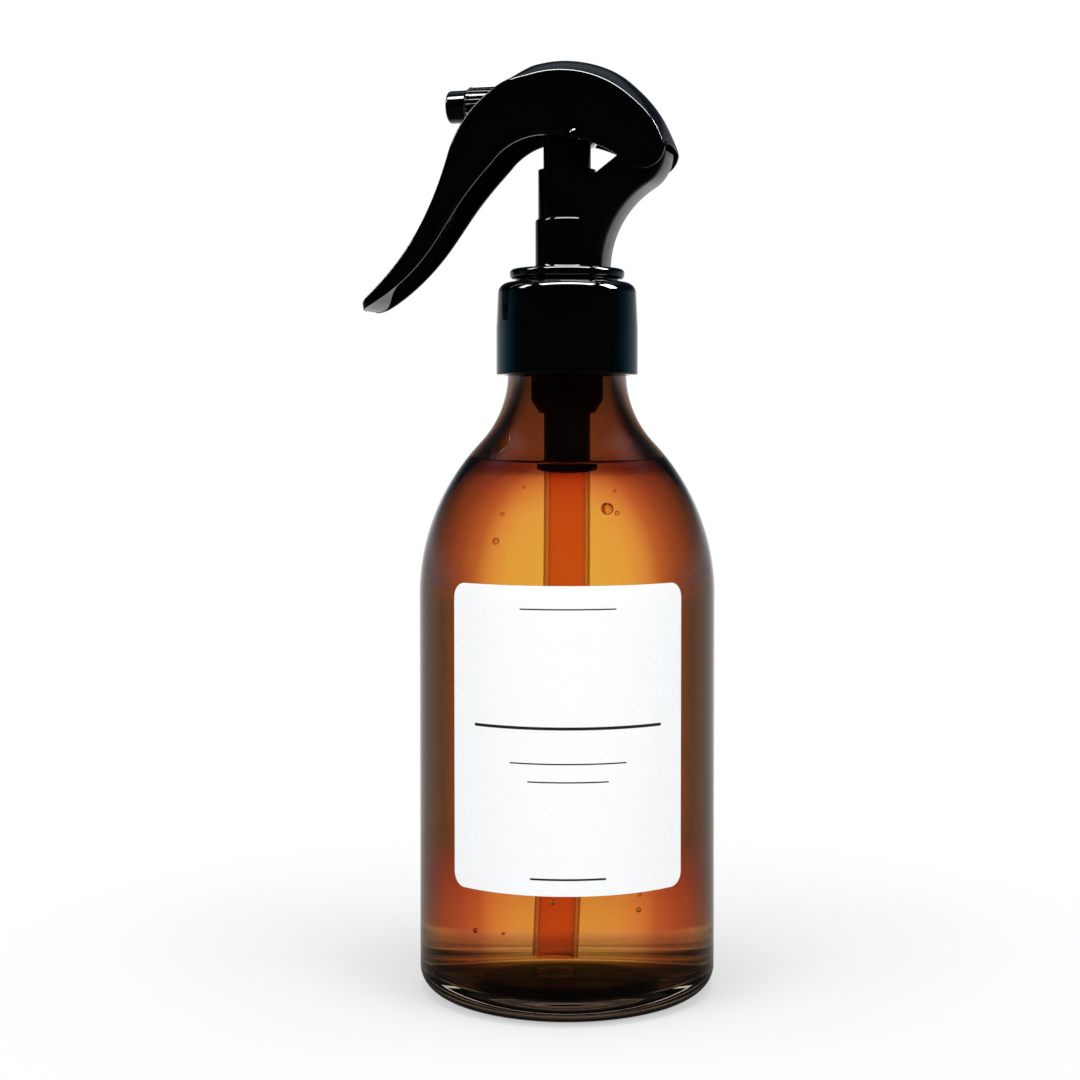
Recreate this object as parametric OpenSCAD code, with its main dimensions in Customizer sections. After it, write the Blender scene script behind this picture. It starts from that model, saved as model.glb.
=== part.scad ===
// Trigger spray bottle for liquid detergent: a glass bottle with a small lever-action sprayer.
// Millimetres, +Z up. The origin is on the bottle's axis, at the height of the surface it stands on.
// The lever points to -X, its hinge lies parallel to Y on the +X side.

/* [Bottle] */
// Outer diameter of the glass
bottle_d = 62.4; // [54:0.1:90]
// Height at which the straight side turns into the shoulder
body_h = 83; // [60:0.5:140]
// Thickness of the glass wall
glass_wall = 2.4; // [1.6:0.1:3.4]
// Thickness of the glass at the middle of the base
base_t = 4.5; // [3:0.1:8]
// Rise of the hollow under the base
push_up = 2.6; // [1:0.1:5]
// Radius of the heel between side and base
heel_r = 4.6; // [3.4:0.1:10]
// Radius of the long shoulder arc
shoulder_r = 46.4; // [38:0.1:60]
// Radius of the hollow between shoulder and neck
throat_r = 21.32; // [14:0.02:30]
// Outer diameter of the neck
neck_d = 25; // [23:0.1:25.8]
// Diameter of the neck's bore
neck_bore = 19.8; // [17.8:0.1:21]
// Length of the straight neck above the shoulder
neck_h = 14; // [12:0.1:22]

/* [Label] */
// Angle that the label wraps
label_angle = 93; // [40:1:160]
// Height of the label
label_h = 61.1; // [20:0.1:66]
// Height of the label's lower edge
label_z = 26.2; // [12:0.1:30]
// Thickness of the label
label_t = 0.15; // [0.1:0.01:0.3]
// Radius of the label's corners
label_corner = 2.8; // [0.5:0.1:6]
// Turn of the label's middle about Z, away from -Y
label_turn = 15.4; // [-90:0.1:90]

/* [Closure] */
// Wall of the closure's skirt at its lower rim
closure_wall = 1.75; // [1.2:0.05:3.5]
// How much the closure's radius narrows from its rim to its rounded edge
closure_taper = 0.35; // [0.1:0.05:0.8]
// Height of the closure
closure_h = 19.4; // [16:0.1:24]
// Thickness of the closure's top panel
closure_panel = 1.3; // [0.8:0.1:2]
// Radius of the closure's upper edge
closure_edge = 2.3; // [0.8:0.1:3]
// Diameter of the closure's bore at its thread crests
closure_bore = 26.4; // [26.2:0.1:27]

/* [Seals and valve housing] */
// Thickness of the gasket on the lip
gasket_t = 1.2; // [0.8:0.1:2]
// Outer diameter of gasket, housing flange and seal flange
seal_d = 25.6; // [24:0.1:25.8]
// Thickness of the housing's flange
housing_flange_t = 1; // [0.8:0.1:1.6]
// Outer diameter of the housing in the neck
housing_d = 15.2; // [13.6:0.1:17]
// Length of the housing below the gasket, down to its taper
housing_len = 20; // [18:0.1:26]
// Height of the taper between housing and spigot
housing_taper = 3; // [1.5:0.1:5]
// Bore of the housing, in which the piston slides
cylinder_bore = 11.2; // [10.6:0.1:12]
// Outer diameter of the spigot that holds the tube
spigot_d = 9.8; // [9.2:0.1:11]
// Length of the spigot
spigot_len = 15; // [12:0.1:20]
// Diameter of the inlet ball
ball_d = 4; // [3.6:0.1:4.6]
// Travel that the inlet ball has under its stop
ball_travel = 0.8; // [0.5:0.1:1.2]
// Thickness of the ball stop
stop_t = 1.6; // [1:0.1:2.4]

/* [Dip tube] */
// Outer diameter of the tube
tube_d = 7.4; // [6:0.1:7.8]
// Wall of the tube
tube_wall = 0.9; // [0.6:0.05:1.2]
// Wall left off outside and inside where the tube's end plugs into the spigot
tube_neck = 0.15; // [0.1:0.05:0.2]
// Height of the tube's end above the glass floor
tube_end_gap = 1.6; // [1:0.1:10]
// Sideways reach of the tube's curl at its lower end
tube_curl = 5; // [2:0.1:5.4]
// Direction in which the tube curls
tube_curl_dir = -98; // [-180:1:180]

/* [Pump body] */
// Thickness of the pump's seal flange under the closure panel
seal_flange_t = 1.3; // [1:0.1:2]
// Diameter of the collar that passes through the closure
collar_d = 21.6; // [18:0.1:21.8]
// Gap between the closure's top and the flange
flange_gap = 0.7; // [0.4:0.1:1.5]
// Diameter of the flange
flange_d = 24.2; // [22:0.1:27]
// Thickness of the flange
flange_t = 2.1; // [1.4:0.1:3]
// Outer diameter of the lower barrel
barrel_d = 13.4; // [13:0.1:15]
// Outer diameter of the upper barrel
barrel_top_d = 12.2; // [12:0.1:12.3]
// Height of the lower barrel
barrel_h = 10.1; // [6:0.1:12]
// Height of the chamfer between the barrels
barrel_chamfer = 2.2; // [1:0.1:3]
// Height of the upper barrel
barrel_top_h = 7.2; // [6:0.1:7.6]
// Bore of the barrel
barrel_bore = 10.7; // [10.5:0.1:10.9]
// Height of the stem guide above the barrel
guide_h = 1.3; // [0.8:0.1:1.6]

/* [Strut and hinge] */
// Width of the strut
strut_w = 10.6; // [8:0.1:11]
// Distance from the barrel's axis to the strut's back at the flange
strut_foot_x = 8.6; // [8:0.1:9.4]
// Radius of the strut's hollow back
strut_hollow_r = 19.8; // [17:0.1:22]
// Radius of the strut's shoulder below the hinge
strut_shoulder_r = 8.2; // [6.5:0.1:9]
// Rounding of the strut's rear edges
strut_edge = 1.8; // [0.5:0.1:3]
// Distance from the barrel's axis to the hinge axis
hinge_x = 17.8; // [16.5:0.1:19]
// Height of the hinge axis above the flange
hinge_h = 24.5; // [24.1:0.1:26]
// Diameter of the hinge stubs
hinge_d = 3; // [2.4:0.1:3.6]
// Diameter of the strut's knuckle
knuckle_d = 6.4; // [5.4:0.1:6.4]

/* [Lever] */
// Width of the head
lever_w = 15; // [14.8:0.1:18]
// Width of the trigger at its narrowest
trigger_w = 13; // [11:0.1:16]
// Radius of the dome in side view
dome_r = 24.6; // [23:0.1:26]
// Rise of the dome's crown between the cheeks
crown_h = 3; // [1:0.1:4]
// Wall of the cheeks
cheek_t = 1.05; // [0.8:0.05:1.1]
// Thickness of the dome and of the trigger's front
web_t = 1.3; // [0.9:0.05:1.5]
// Radius of the trigger's hollow front
finger_r = 67; // [55:1:90]
// Angle at which the dome turns into the trigger
dome_end_a = 163; // [156:1:166]
// Angle that the hollow front runs down to the tip
finger_a = 32; // [26:0.5:33]
// Radius of the ears round the hinge
ear_r = 4.75; // [4.4:0.05:5.2]
// Rounding of the tip's corners
tip_corner = 3.2; // [1:0.1:4.5]

/* [Stem, piston and spring] */
// Outer diameter of the stem
stem_d = 10; // [9.6:0.1:10.2]
// Height of the stem above the guide
stem_h = 8.7; // [8.4:0.1:9.2]
// Offset of the stem's pins towards the hinge
pin_x = 3.3; // [2.6:0.1:3.6]
// Diameter of the stem's pins
pin_d = 2.3; // [1.8:0.1:2.6]
// Diameter of the stem's lower end, inside the seal
stem_foot_d = 7.2; // [6.4:0.1:7.8]
// Height of the piston seal
seal_h = 6; // [4:0.1:7]
// Diameter of the spring's wire
wire_d = 0.8; // [0.5:0.05:1]
// Number of turns of the spring
spring_turns = 5.5; // [4:0.5:7]

/* [Elbow and nozzle] */
// Height of the nozzle axis above the hinge axis
nozzle_h = 10.6; // [10:0.1:11.4]
// Diameter of the elbow's ball
elbow_ball_d = 6.7; // [6:0.1:6.8]
// Outer diameter of the elbow's channel
elbow_d = 5.6; // [4.8:0.1:5.8]
// Bore of the elbow's channel
channel_d = 2; // [1.4:0.1:2.6]
// Outer diameter of the post inside the nozzle cap
post_d = 5.4; // [4.8:0.1:5.6]
// Distance from the barrel's axis to the front of the nozzle
nozzle_reach = 26; // [25.5:0.1:30]
// Diameter of the cap's smooth front
nozzle_front_d = 6.9; // [6.6:0.1:7.4]
// Length of the cap's smooth front
nozzle_front_len = 4.6; // [3:0.1:6]
// Diameter of the cap over its ribs
nozzle_rib_d = 8.2; // [7.6:0.1:8.4]
// Length of the ribbed part of the cap
nozzle_rib_len = 8; // [6:0.1:9]
// Number of ribs round the cap
nozzle_ribs = 26; // [16:1:32]
// Diameter of the spray orifice
orifice_d = 0.6; // [0.3:0.1:1]

/* [Hidden] */
$fn = 96;

// Clearances
fit_gap = 0.05;          // between parts that slide or turn on each other
seat_gap = 0.02;         // between parts that are pressed together
free_gap = 0.35;         // between parts that must never touch

// Bottle
bottle_r = bottle_d / 2;
neck_r = neck_d / 2;
shoulder_x = bottle_r - shoulder_r;
throat_z = body_h + join_height(shoulder_r, throat_r, neck_r + throat_r - shoulder_x);
lip_z = throat_z + neck_h;
lip_edge = 0.8;

// Stack on the lip of the glass
gasket_top = lip_z + gasket_t;
housing_top = gasket_top + housing_flange_t;
seal_flange_top = housing_top + seal_flange_t;
panel_z = seal_flange_top + 0.1;
closure_top = panel_z + closure_panel;
flange_z = closure_top + flange_gap;
flange_top = flange_z + flange_t;
barrel_step = flange_top + barrel_h;
barrel_shoulder = barrel_step + barrel_chamfer;
barrel_end = barrel_shoulder + barrel_top_h;
guide_top = barrel_end + guide_h;
stem_top = guide_top + stem_h;

// Hinge, and the arcs of the strut's back
hinge_z = flange_top + hinge_h;
strut_back_x = hinge_x + ear_r - 0.45;
strut_top = hinge_z - 0.8;
strut_top_x = strut_back_x - strut_shoulder_r;
strut_top_z = flange_top
    + join_height(strut_hollow_r, strut_shoulder_r, strut_foot_x + strut_hollow_r - strut_top_x);

// Squeeze of the lever, and the travel it gives to the pins of the stem
squeeze_a = 20;
pin_z = stem_top - 2.1;
pin_arm = norm([hinge_x - pin_x, pin_z - hinge_z]);
pin_lift_a = asin((pin_z - hinge_z) / pin_arm);
stroke = pin_arm * (sin(pin_lift_a) - sin(pin_lift_a - squeeze_a));
pin_drift = pin_arm * (1 - cos(max(pin_lift_a, squeeze_a - pin_lift_a)));

// Lever outline in the XZ plane
dome_c = [-0.65, hinge_z - 7.6];
finger_c = polar(dome_c, dome_r + finger_r, dome_end_a);
arch_r = 14;
arch_c = [-3.5, hinge_z + 2.9 - arch_r];
arch_a = 142;
ear_in_a = 226;
ear_out_a = 352;
tip_rise_a = 25;         // slope of the lower edge at the tip
tip_pull = 10;           // pull of that slope on the curve
arch_pull = 16;          // pull of the arch's foot on the trigger's lower edge
roof_pull = 7;           // pull of the arch's top on the edge towards the ear
ear_pull = 5;            // pull of the ear on that edge
crown_front_a = 124;     // where the crown starts behind the nozzle
crown_top_a = 98;        // where it has its full height
crown_rear_a = 16;       // where it fades at the rear lip
crown_rear_span = 66;
hinge_c = [hinge_x, hinge_z];
dome_rear_a = 19.5;

// Valve housing
ball_r = ball_d / 2;
passage_r = ball_r * 0.75;
housing_end = lip_z - housing_len;
spigot_top = housing_end - housing_taper;
spigot_end = spigot_top - spigot_len;
seat_z = spigot_top - 1.4;
ball_z = seat_z + sqrt(ball_r * ball_r - passage_r * passage_r) + free_gap;
stop_z = ball_z + ball_travel + ball_r + 0.1;
stop_top = stop_z + stop_t;
tube_top = seat_z - 2.4;

// Dip tube, curled along one wide arc
floor_mid_z = base_t + push_up;
tube_r = tube_d / 2;
tube_end_z = floor_mid_z + tube_end_gap;
tube_drop = spigot_end - tube_end_z;
curl_r = (tube_drop * tube_drop + tube_curl * tube_curl) / (2 * tube_curl);
curl_a = asin(tube_drop / curl_r);

// Piston and stem
spring_h = 13.3;
spring_r = cylinder_bore / 2 - 1.1;
seal_z = stop_top + spring_h;
stem_r = stem_d / 2;
stem_neck_z = flange_top + 2;
elbow_ball_z = pin_z + 0.2;
cup_z = elbow_ball_z - elbow_ball_d / 2 - 1.7;
cup_r = elbow_ball_d / 2 + free_gap;
stem_bore_r = 1.5;

// Nozzle and elbow, along X
nozzle_z = hinge_z + nozzle_h;
cap_back_x = -nozzle_reach + nozzle_front_len + nozzle_rib_len;
cap_step_x = -nozzle_reach + nozzle_front_len;
post_end_x = -nozzle_reach + 3;
core_r = post_d / 2 - 0.7;
core_x = post_end_x + 4.4;
valve_x = core_x + 2.6;
ring_d = 1;
groove_w = ring_d + 0.1;
seal_ring_x = valve_x + 0.6 + groove_w / 2;
orifice_disc_r = 2;
orifice_disc_t = 1.9;

// Height between the centres of two arcs that touch, a sideways distance dx apart
function join_height(r1, r2, dx) = sqrt(pow(r1 + r2, 2) - dx * dx);
// Point at a radius and an angle from a centre
function polar(c, r, a) = [c[0] + r * cos(a), c[1] + r * sin(a)];
// Points of an arc, both ends included
function arc(c, r, a0, a1, n) = [for (i = [0:n]) polar(c, r, a0 + (a1 - a0) * i / n)];
// Point of a cubic curve between p0 and p3, with handles p1 and p2
function curve_at(p0, p1, p2, p3, t) =
    pow(1 - t, 3) * p0 + 3 * pow(1 - t, 2) * t * p1 + 3 * (1 - t) * t * t * p2 + t * t * t * p3;
function smooth(t) = let (u = min(1, max(0, t))) u * u * (3 - 2 * u);

// Rings of points joined to a closed solid; each ring runs anticlockwise seen from the next one
module loft(rings) {
    m = len(rings[0]);
    n = len(rings);
    points = [for (ring = rings) for (p = ring) p];
    sides = [for (i = [0:n - 2]) for (j = [0:m - 1])
        let (k = (j + 1) % m, a = i * m + j, b = i * m + k, c = a + m, d = b + m)
        each [[a, c, d], [a, d, b]]];
    first = [for (j = [0:m - 1]) j];
    last = [for (j = [0:m - 1]) n * m - 1 - j];
    polyhedron(points, concat(sides, [first, last]), convexity = 6);
}

// Cylinder along X between two places on the nozzle's axis
module along_x(x0, x1, r) {
    translate([min(x0, x1), 0, nozzle_z]) rotate([0, 90, 0]) cylinder(h = abs(x1 - x0), r = r);
}

// Cylinder along Y, centred, at a point of the XZ plane
module along_y(c, r, length) {
    translate([c[0], length / 2, c[1]]) rotate([90, 0, 0]) cylinder(h = length, r = r);
}

// Ring between two radii and two heights
module ring(r_out, r_in, z0, z1) {
    rotate_extrude() translate([r_in, z0]) square([r_out - r_in, z1 - z0]);
}

// ---------------------------------------------------------------- bottle

// Outer radius of the glass at a height on the side or the start of the shoulder
function side_r(z) = z <= body_h ? bottle_r
    : shoulder_x + sqrt(shoulder_r * shoulder_r - pow(z - body_h, 2));

// Points of shoulder, throat and neck for a skin that lies inset from the outer face
function upper_profile(inset, neck, top) = let (
    r1 = shoulder_r - inset,
    r2 = throat_r + inset,
    cx = neck + r2,
    cz = body_h + join_height(r1, r2, cx - shoulder_x),
    join_a = acos((cx - shoulder_x) / (r1 + r2)))
    concat(arc([shoulder_x, body_h], r1, 0, join_a, 18),
           arc([cx, cz], r2, 180 + join_a, 180, 10), [[neck, top]]);

module bottle() {
    stand_w = 1.2;
    stand_r = bottle_r - heel_r;
    under_r = stand_r - stand_w;
    under_c = (under_r * under_r + push_up * push_up) / (2 * push_up);
    under_a = asin(under_r / under_c);
    inner_r = bottle_r - glass_wall;
    inner_heel = heel_r - glass_wall;
    floor_r = inner_r - inner_heel;
    floor_c = (floor_r * floor_r + push_up * push_up) / (2 * push_up);
    floor_a = asin(floor_r / floor_c);
    bore_r = neck_bore / 2;
    outer = concat(
        arc([0, push_up - under_c], under_c, 90, 90 - under_a, 6),
        arc([stand_r, heel_r], heel_r, 270, 360, 8),
        upper_profile(0, neck_r, lip_z - lip_edge));
    inner = concat(
        arc([0, floor_mid_z - floor_c], floor_c, 90, 90 - floor_a, 6),
        arc([floor_r, base_t + inner_heel], inner_heel, 270, 360, 6),
        upper_profile(glass_wall, bore_r, lip_z - lip_edge));
    lip = concat(arc([neck_r - lip_edge, lip_z - lip_edge], lip_edge, 0, 90, 3),
                 arc([bore_r + lip_edge, lip_z - lip_edge], lip_edge, 90, 180, 3));
    last_inner = len(inner) - 1;
    inner_down = [for (i = [last_inner:-1:0]) inner[i]];
    color([0.45, 0.2, 0.05, 0.6]) rotate_extrude() polygon(concat(outer, lip, inner_down));
}

module front_label() {
    half_w = bottle_r * sin(label_angle / 2);
    top = label_z + label_h;
    steps = 5;
    heights = concat([label_z, min(body_h, top)],
                     top > body_h ? [for (i = [1:steps]) body_h + (top - body_h) * i / steps] : []);
    face = [for (z = heights) [side_r(z) + seat_gap, z]];
    back = [for (i = [len(face) - 1:-1:0]) face[i] + [label_t, 0]];
    color([0.95, 0.95, 0.94])
    rotate([0, 0, label_turn - 90])
    intersection() {
        rotate([0, 0, -label_angle / 2])
            rotate_extrude(angle = label_angle) polygon(concat(face, back));
        rotate([90, 0, 90]) linear_extrude(bottle_r + 2) union() {
            translate([-half_w + label_corner, label_z])
                square([2 * (half_w - label_corner), label_h]);
            translate([-half_w - 1, label_z + label_corner])
                square([2 * half_w + 2, label_h - 2 * label_corner]);
            for (x = [-1, 1], z = [label_z + label_corner, top - label_corner])
                translate([x * (half_w - label_corner), z]) circle(r = label_corner);
        }
    }
}

// ---------------------------------------------------------------- closure and seals

module closure_cap() {
    rim_r = closure_bore / 2 + closure_wall;
    top_r = rim_r - closure_taper;
    foot_z = closure_top - closure_h;
    hole_r = collar_d / 2 + free_gap;
    profile = concat(
        [[closure_bore / 2, foot_z], [rim_r - 0.3, foot_z], [rim_r, foot_z + 0.3]],
        [[rim_r, foot_z + closure_h / 2]],
        arc([top_r - closure_edge, closure_top - closure_edge], closure_edge, 0, 90, 6),
        [[hole_r, closure_top], [hole_r, panel_z], [closure_bore / 2, panel_z]]);
    color([0.03, 0.03, 0.03]) rotate_extrude() polygon(profile);
}

module neck_gasket() {
    color([0.85, 0.85, 0.8]) ring(seal_d / 2, housing_d / 2 + 0.3, lip_z, gasket_top);
}

module valve_housing() {
    bore_r = cylinder_bore / 2;
    body_r = housing_d / 2;
    chamber_r = ball_r + 0.5;
    outer = [[seal_d / 2, housing_top], [seal_d / 2, gasket_top], [body_r, gasket_top],
             [body_r, housing_end], [spigot_d / 2 + 0.9, spigot_top], [spigot_d / 2, spigot_top],
             [spigot_d / 2, spigot_end]];
    plug_seat_r = tube_r - tube_neck + seat_gap;
    inner = [[plug_seat_r, spigot_end], [plug_seat_r, tube_top],
             [passage_r, tube_top], [passage_r, seat_z], [chamber_r, seat_z + chamber_r - passage_r],
             [chamber_r, stop_z], [bore_r, stop_z], [bore_r, housing_top]];
    color([0.9, 0.9, 0.88]) rotate_extrude() polygon(concat(outer, inner));
}

module ball_stop() {
    slots = 3;
    color([0.9, 0.9, 0.88]) difference() {
        translate([0, 0, stop_z]) cylinder(h = stop_t, r = cylinder_bore / 2 - seat_gap);
        translate([0, 0, stop_z - 1]) cylinder(h = stop_t + 2, r = ball_r * 0.6);
        for (i = [0:slots - 1])
            rotate([0, 0, i * 360 / slots])
                translate([0, -0.6, stop_z - 1]) cube([ball_r + 0.3, 1.2, stop_t + 2]);
    }
}

module inlet_ball() {
    color([0.7, 0.7, 0.72]) translate([0, 0, ball_z]) sphere(r = ball_r);
}

module dip_tube() {
    bore_r = tube_r - tube_wall;
    color([0.9, 0.8, 0.6, 0.7]) {
        ring(tube_r - tube_neck, bore_r + tube_neck, spigot_end - tube_wall, tube_top);
        rotate([0, 0, tube_curl_dir]) translate([curl_r, 0, spigot_end - seat_gap]) rotate([90, 0, 0])
            rotate([0, 0, 180]) rotate_extrude(angle = curl_a) translate([curl_r, 0]) difference() {
                circle(r = tube_r);
                circle(r = bore_r);
            }
    }
}

// ---------------------------------------------------------------- pump body

// Back of the strut at a height: a hollow arc at the foot, a round shoulder under the hinge
function strut_back(z) = let (foot_c = strut_foot_x + strut_hollow_r,
    join_z = flange_top + (strut_top_z - flange_top) * strut_hollow_r / (strut_hollow_r + strut_shoulder_r))
    z < join_z ? foot_c - sqrt(pow(strut_hollow_r, 2) - pow(z - flange_top, 2))
               : strut_top_x + sqrt(pow(strut_shoulder_r, 2) - pow(z - strut_top_z, 2));

function strut_ring(z) = let (x = strut_back(z), y = strut_w / 2, e = strut_edge)
    [for (p = concat([[0, -y]], arc([x - e, e - y], e, -90, 0, 4),
                     arc([x - e, y - e], e, 0, 90, 4), [[0, y]])) [p[0], p[1], z]];

module strut() {
    steps = 22;
    loft([for (i = [0:steps]) strut_ring(flange_top - 0.4 + (strut_top - flange_top + 0.4) * i / steps)]);
    along_y(hinge_c, knuckle_d / 2, strut_w);
}

// Open space in front of the strut, above the barrel
module strut_window() {
    foot_x = barrel_top_d / 2 + 0.9;
    head_x = hinge_x - knuckle_d / 2 - 1.6;
    profile = concat([[-barrel_d, barrel_end]], arc([foot_x, barrel_end + 1.2], 1.2, 270, 320, 4),
                     [[head_x, strut_top], [head_x, strut_top + 2], [-barrel_d, strut_top + 2]]);
    translate([0, barrel_d, 0]) rotate([90, 0, 0]) linear_extrude(2 * barrel_d) polygon(profile);
}

module pump_body() {
    edge = 0.8;
    flange_r = flange_d / 2;
    socket_r = barrel_top_d / 2 - 0.35;
    profile = concat(
        [[0, housing_top], [seal_d / 2, housing_top], [seal_d / 2, seal_flange_top],
         [collar_d / 2, seal_flange_top], [collar_d / 2, flange_z]],
        arc([flange_r - edge, flange_z + edge], edge, 270, 360, 4),
        arc([flange_r - edge, flange_top - edge], edge, 0, 90, 4),
        [[barrel_d / 2, flange_top], [barrel_d / 2, barrel_step], [barrel_top_d / 2, barrel_shoulder],
         [barrel_top_d / 2, barrel_end], [0, barrel_end]]);
    color([0.03, 0.03, 0.03]) difference() {
        union() {
            rotate_extrude() polygon(profile);
            strut();
        }
        translate([0, 0, housing_top - 1]) cylinder(h = barrel_end - housing_top + 2, r = barrel_bore / 2);
        translate([0, 0, barrel_end - 2]) cylinder(h = 4, r = socket_r);
        along_y(hinge_c, hinge_d / 2 + fit_gap, strut_w + 2);
        strut_window();
    }
}

module stem_guide() {
    socket_r = barrel_top_d / 2 - 0.35;
    bore_r = stem_r + fit_gap;
    sleeve_r = socket_r - seat_gap;
    sleeve_z = barrel_end - 1.9;
    profile = [[bore_r, sleeve_z], [sleeve_r, sleeve_z], [sleeve_r, barrel_end],
               [barrel_top_d / 2, barrel_end], [barrel_top_d / 2, guide_top - 0.3],
               [barrel_top_d / 2 - 0.3, guide_top], [bore_r, guide_top]];
    color([0.03, 0.03, 0.03]) rotate_extrude() polygon(profile);
}

// ---------------------------------------------------------------- piston

module piston_stem() {
    pin_out = lever_w / 2 - 0.2;
    pin_in = (cup_r + stem_r) / 2 - 1;
    profile = [[stem_bore_r, seal_z], [stem_foot_d / 2, seal_z], [stem_foot_d / 2, stem_neck_z],
               [stem_r, stem_neck_z + 1], [stem_r, stem_top - 0.5], [stem_r - 0.5, stem_top],
               [cup_r, stem_top], [cup_r, cup_z], [stem_bore_r, cup_z]];
    color([0.03, 0.03, 0.03]) union() {
        rotate_extrude() polygon(profile);
        for (side = [-1, 1])
            translate([0, side * (pin_in + pin_out) / 2, 0])
                along_y([pin_x, pin_z], pin_d / 2, pin_out - pin_in);
    }
}

// Seal with a lip at each end that touches the bore
module piston_seal() {
    foot_r = stem_foot_d / 2 + seat_gap;
    lip_r = cylinder_bore / 2 - fit_gap;
    waist_r = lip_r - 0.8;
    profile = [[foot_r, seal_z], [lip_r - 0.5, seal_z], [lip_r, seal_z + 0.4],
               [waist_r, seal_z + seal_h * 0.3], [waist_r, seal_z + seal_h * 0.7],
               [lip_r, seal_z + seal_h - 0.4],
               [lip_r - 0.5, seal_z + seal_h], [foot_r, seal_z + seal_h]];
    color([0.9, 0.9, 0.88]) rotate_extrude() polygon(profile);
}

module return_spring() {
    sides = 8;
    steps = ceil(spring_turns * 16);
    wire_r = wire_d / 2;
    low = stop_top + wire_r + 0.05;
    rise = spring_h - wire_d - 0.1;
    color([0.7, 0.7, 0.72]) loft([for (i = [0:steps]) let (a = 360 * spring_turns * i / steps)
        [for (j = [0:sides - 1]) let (b = -360 * j / sides, r = spring_r + wire_r * cos(b))
            [r * cos(a), r * sin(a), low + rise * i / steps - wire_r * sin(b)]]]);
}

// ---------------------------------------------------------------- lever

// Lower edge of the cheeks along the trigger, from the tip to the arch over the barrel
tip_low = polar(finger_c, finger_r + 1.3, dome_end_a + 180 - finger_a - 0.6);
arch_foot = polar(arch_c, arch_r, arch_a);
arch_top = polar(arch_c, arch_r, 90);
ear_in = polar(hinge_c, ear_r, ear_in_a);

function trigger_low(t) =
    curve_at(tip_low, tip_low + tip_pull * [cos(tip_rise_a), sin(tip_rise_a)],
             arch_foot - arch_pull * [sin(arch_a), -cos(arch_a)], arch_foot, t);
function arch_low(t) = polar(arch_c, arch_r, arch_a + (90 - arch_a) * t);
function bridge_low(t) =
    curve_at(arch_top, arch_top + [roof_pull, 0],
             ear_in + ear_pull * [sin(ear_in_a), -cos(ear_in_a)], ear_in, t);
function ear_low(t) = polar(hinge_c, ear_r, ear_in_a + (ear_out_a - ear_in_a) * t);

// Front line of the trigger, hollow for the finger
function finger_line(t) = polar(finger_c, finger_r, dome_end_a + 180 - finger_a * (1 - t));

// Half width: flared at the tip, narrow at the trigger's middle, full at the head
function half_width(s) = let (tip = lever_w * 0.47, mid = trigger_w / 2, head = lever_w / 2,
    side = s < 0.4 ? tip + (mid - tip) * smooth(s / 0.4) : mid + (head - mid) * smooth((s - 0.4) / 0.6),
    corner = min(1, s / 0.07))
    side - tip_corner * (1 - sqrt(1 - pow(1 - corner, 2)));

// Crown of the dome between the cheeks, from nothing at its front to a low roof at the rear
function crown(a) = crown_h * (a > crown_top_a
    ? smooth((crown_front_a - a) / (crown_front_a - crown_top_a))
    : 0.2 + 0.8 * smooth((a - crown_rear_a) / crown_rear_span));

// One cross-section of the hollow lever, an arch with its feet on the lower edge.
// open is 1 where the hollow has its full depth, and 0 where the section is solid.
function lever_section(top, low, half, rise, open) = let (
    depth = norm(top - low),
    e = (top - low) / depth,
    hollow = max(0.1, (depth - min(web_t, depth * 0.55)) * open),
    bevel = min(0.7, depth * 0.3),
    inside = half - cheek_t,
    roof = 8,
    section = concat(
        [[-half, 0], [-inside, 0]],
        [for (k = [0:4]) let (y = inside * (k / 2 - 1)) [y, hollow + rise * (1 - pow(y / inside, 2))]],
        [[inside, 0], [half, 0], [half, depth - bevel]],
        [for (k = [0:roof]) let (y = (half - bevel) * (1 - 2 * k / roof))
            [y, depth + rise * (1 - pow(y / half, 2))]],
        [[-half, depth - bevel]]))
    [for (p = section) [low[0] + p[1] * e[0], p[0], low[1] + p[1] * e[1]]];

// Cross-section of the head at a share of the dome's arc
function head_section(u, low) = let (a = dome_end_a + (dome_rear_a - dome_end_a) * u)
    lever_section(polar(dome_c, dome_r, a), low, lever_w / 2, crown(a), 1);

// Stations along the lever from the tip to the rear lip
trigger_steps = 18;
arch_steps = 12;
bridge_steps = 14;
ear_steps = 12;
arch_share = 0.24;
bridge_share = 0.7;

lever_rings = concat(
    [for (i = [0:trigger_steps]) let (k = i / trigger_steps, t = k * (0.45 + 0.55 * k))
        lever_section(finger_line(t), trigger_low(t), half_width(t), 0, smooth(t / 0.16))],
    [for (i = [1:arch_steps]) let (t = i / arch_steps) head_section(arch_share * t, arch_low(t))],
    [for (i = [1:bridge_steps]) let (t = i / bridge_steps)
        head_section(arch_share + (bridge_share - arch_share) * t, bridge_low(t))],
    [for (i = [1:ear_steps]) let (t = i / ear_steps)
        head_section(bridge_share + (1 - bridge_share) * t, ear_low(t))]);

// Plate across the hood with a round seat for the elbow's channel
front_saddle_x = -8.5;
rear_saddle_x = 1.5;

module saddle(x) {
    plate_t = 1.2;
    half = lever_w / 2 - cheek_t / 2;
    top = dome_c[1] + sqrt(pow(dome_r - web_t / 2, 2) - pow(x - dome_c[0], 2));
    low = nozzle_z - 0.6;
    difference() {
        translate([x - plate_t / 2, -half, low]) cube([plate_t, 2 * half, top - low]);
        along_x(x - plate_t, x + plate_t, elbow_d / 2 + seat_gap);
    }
}

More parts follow.
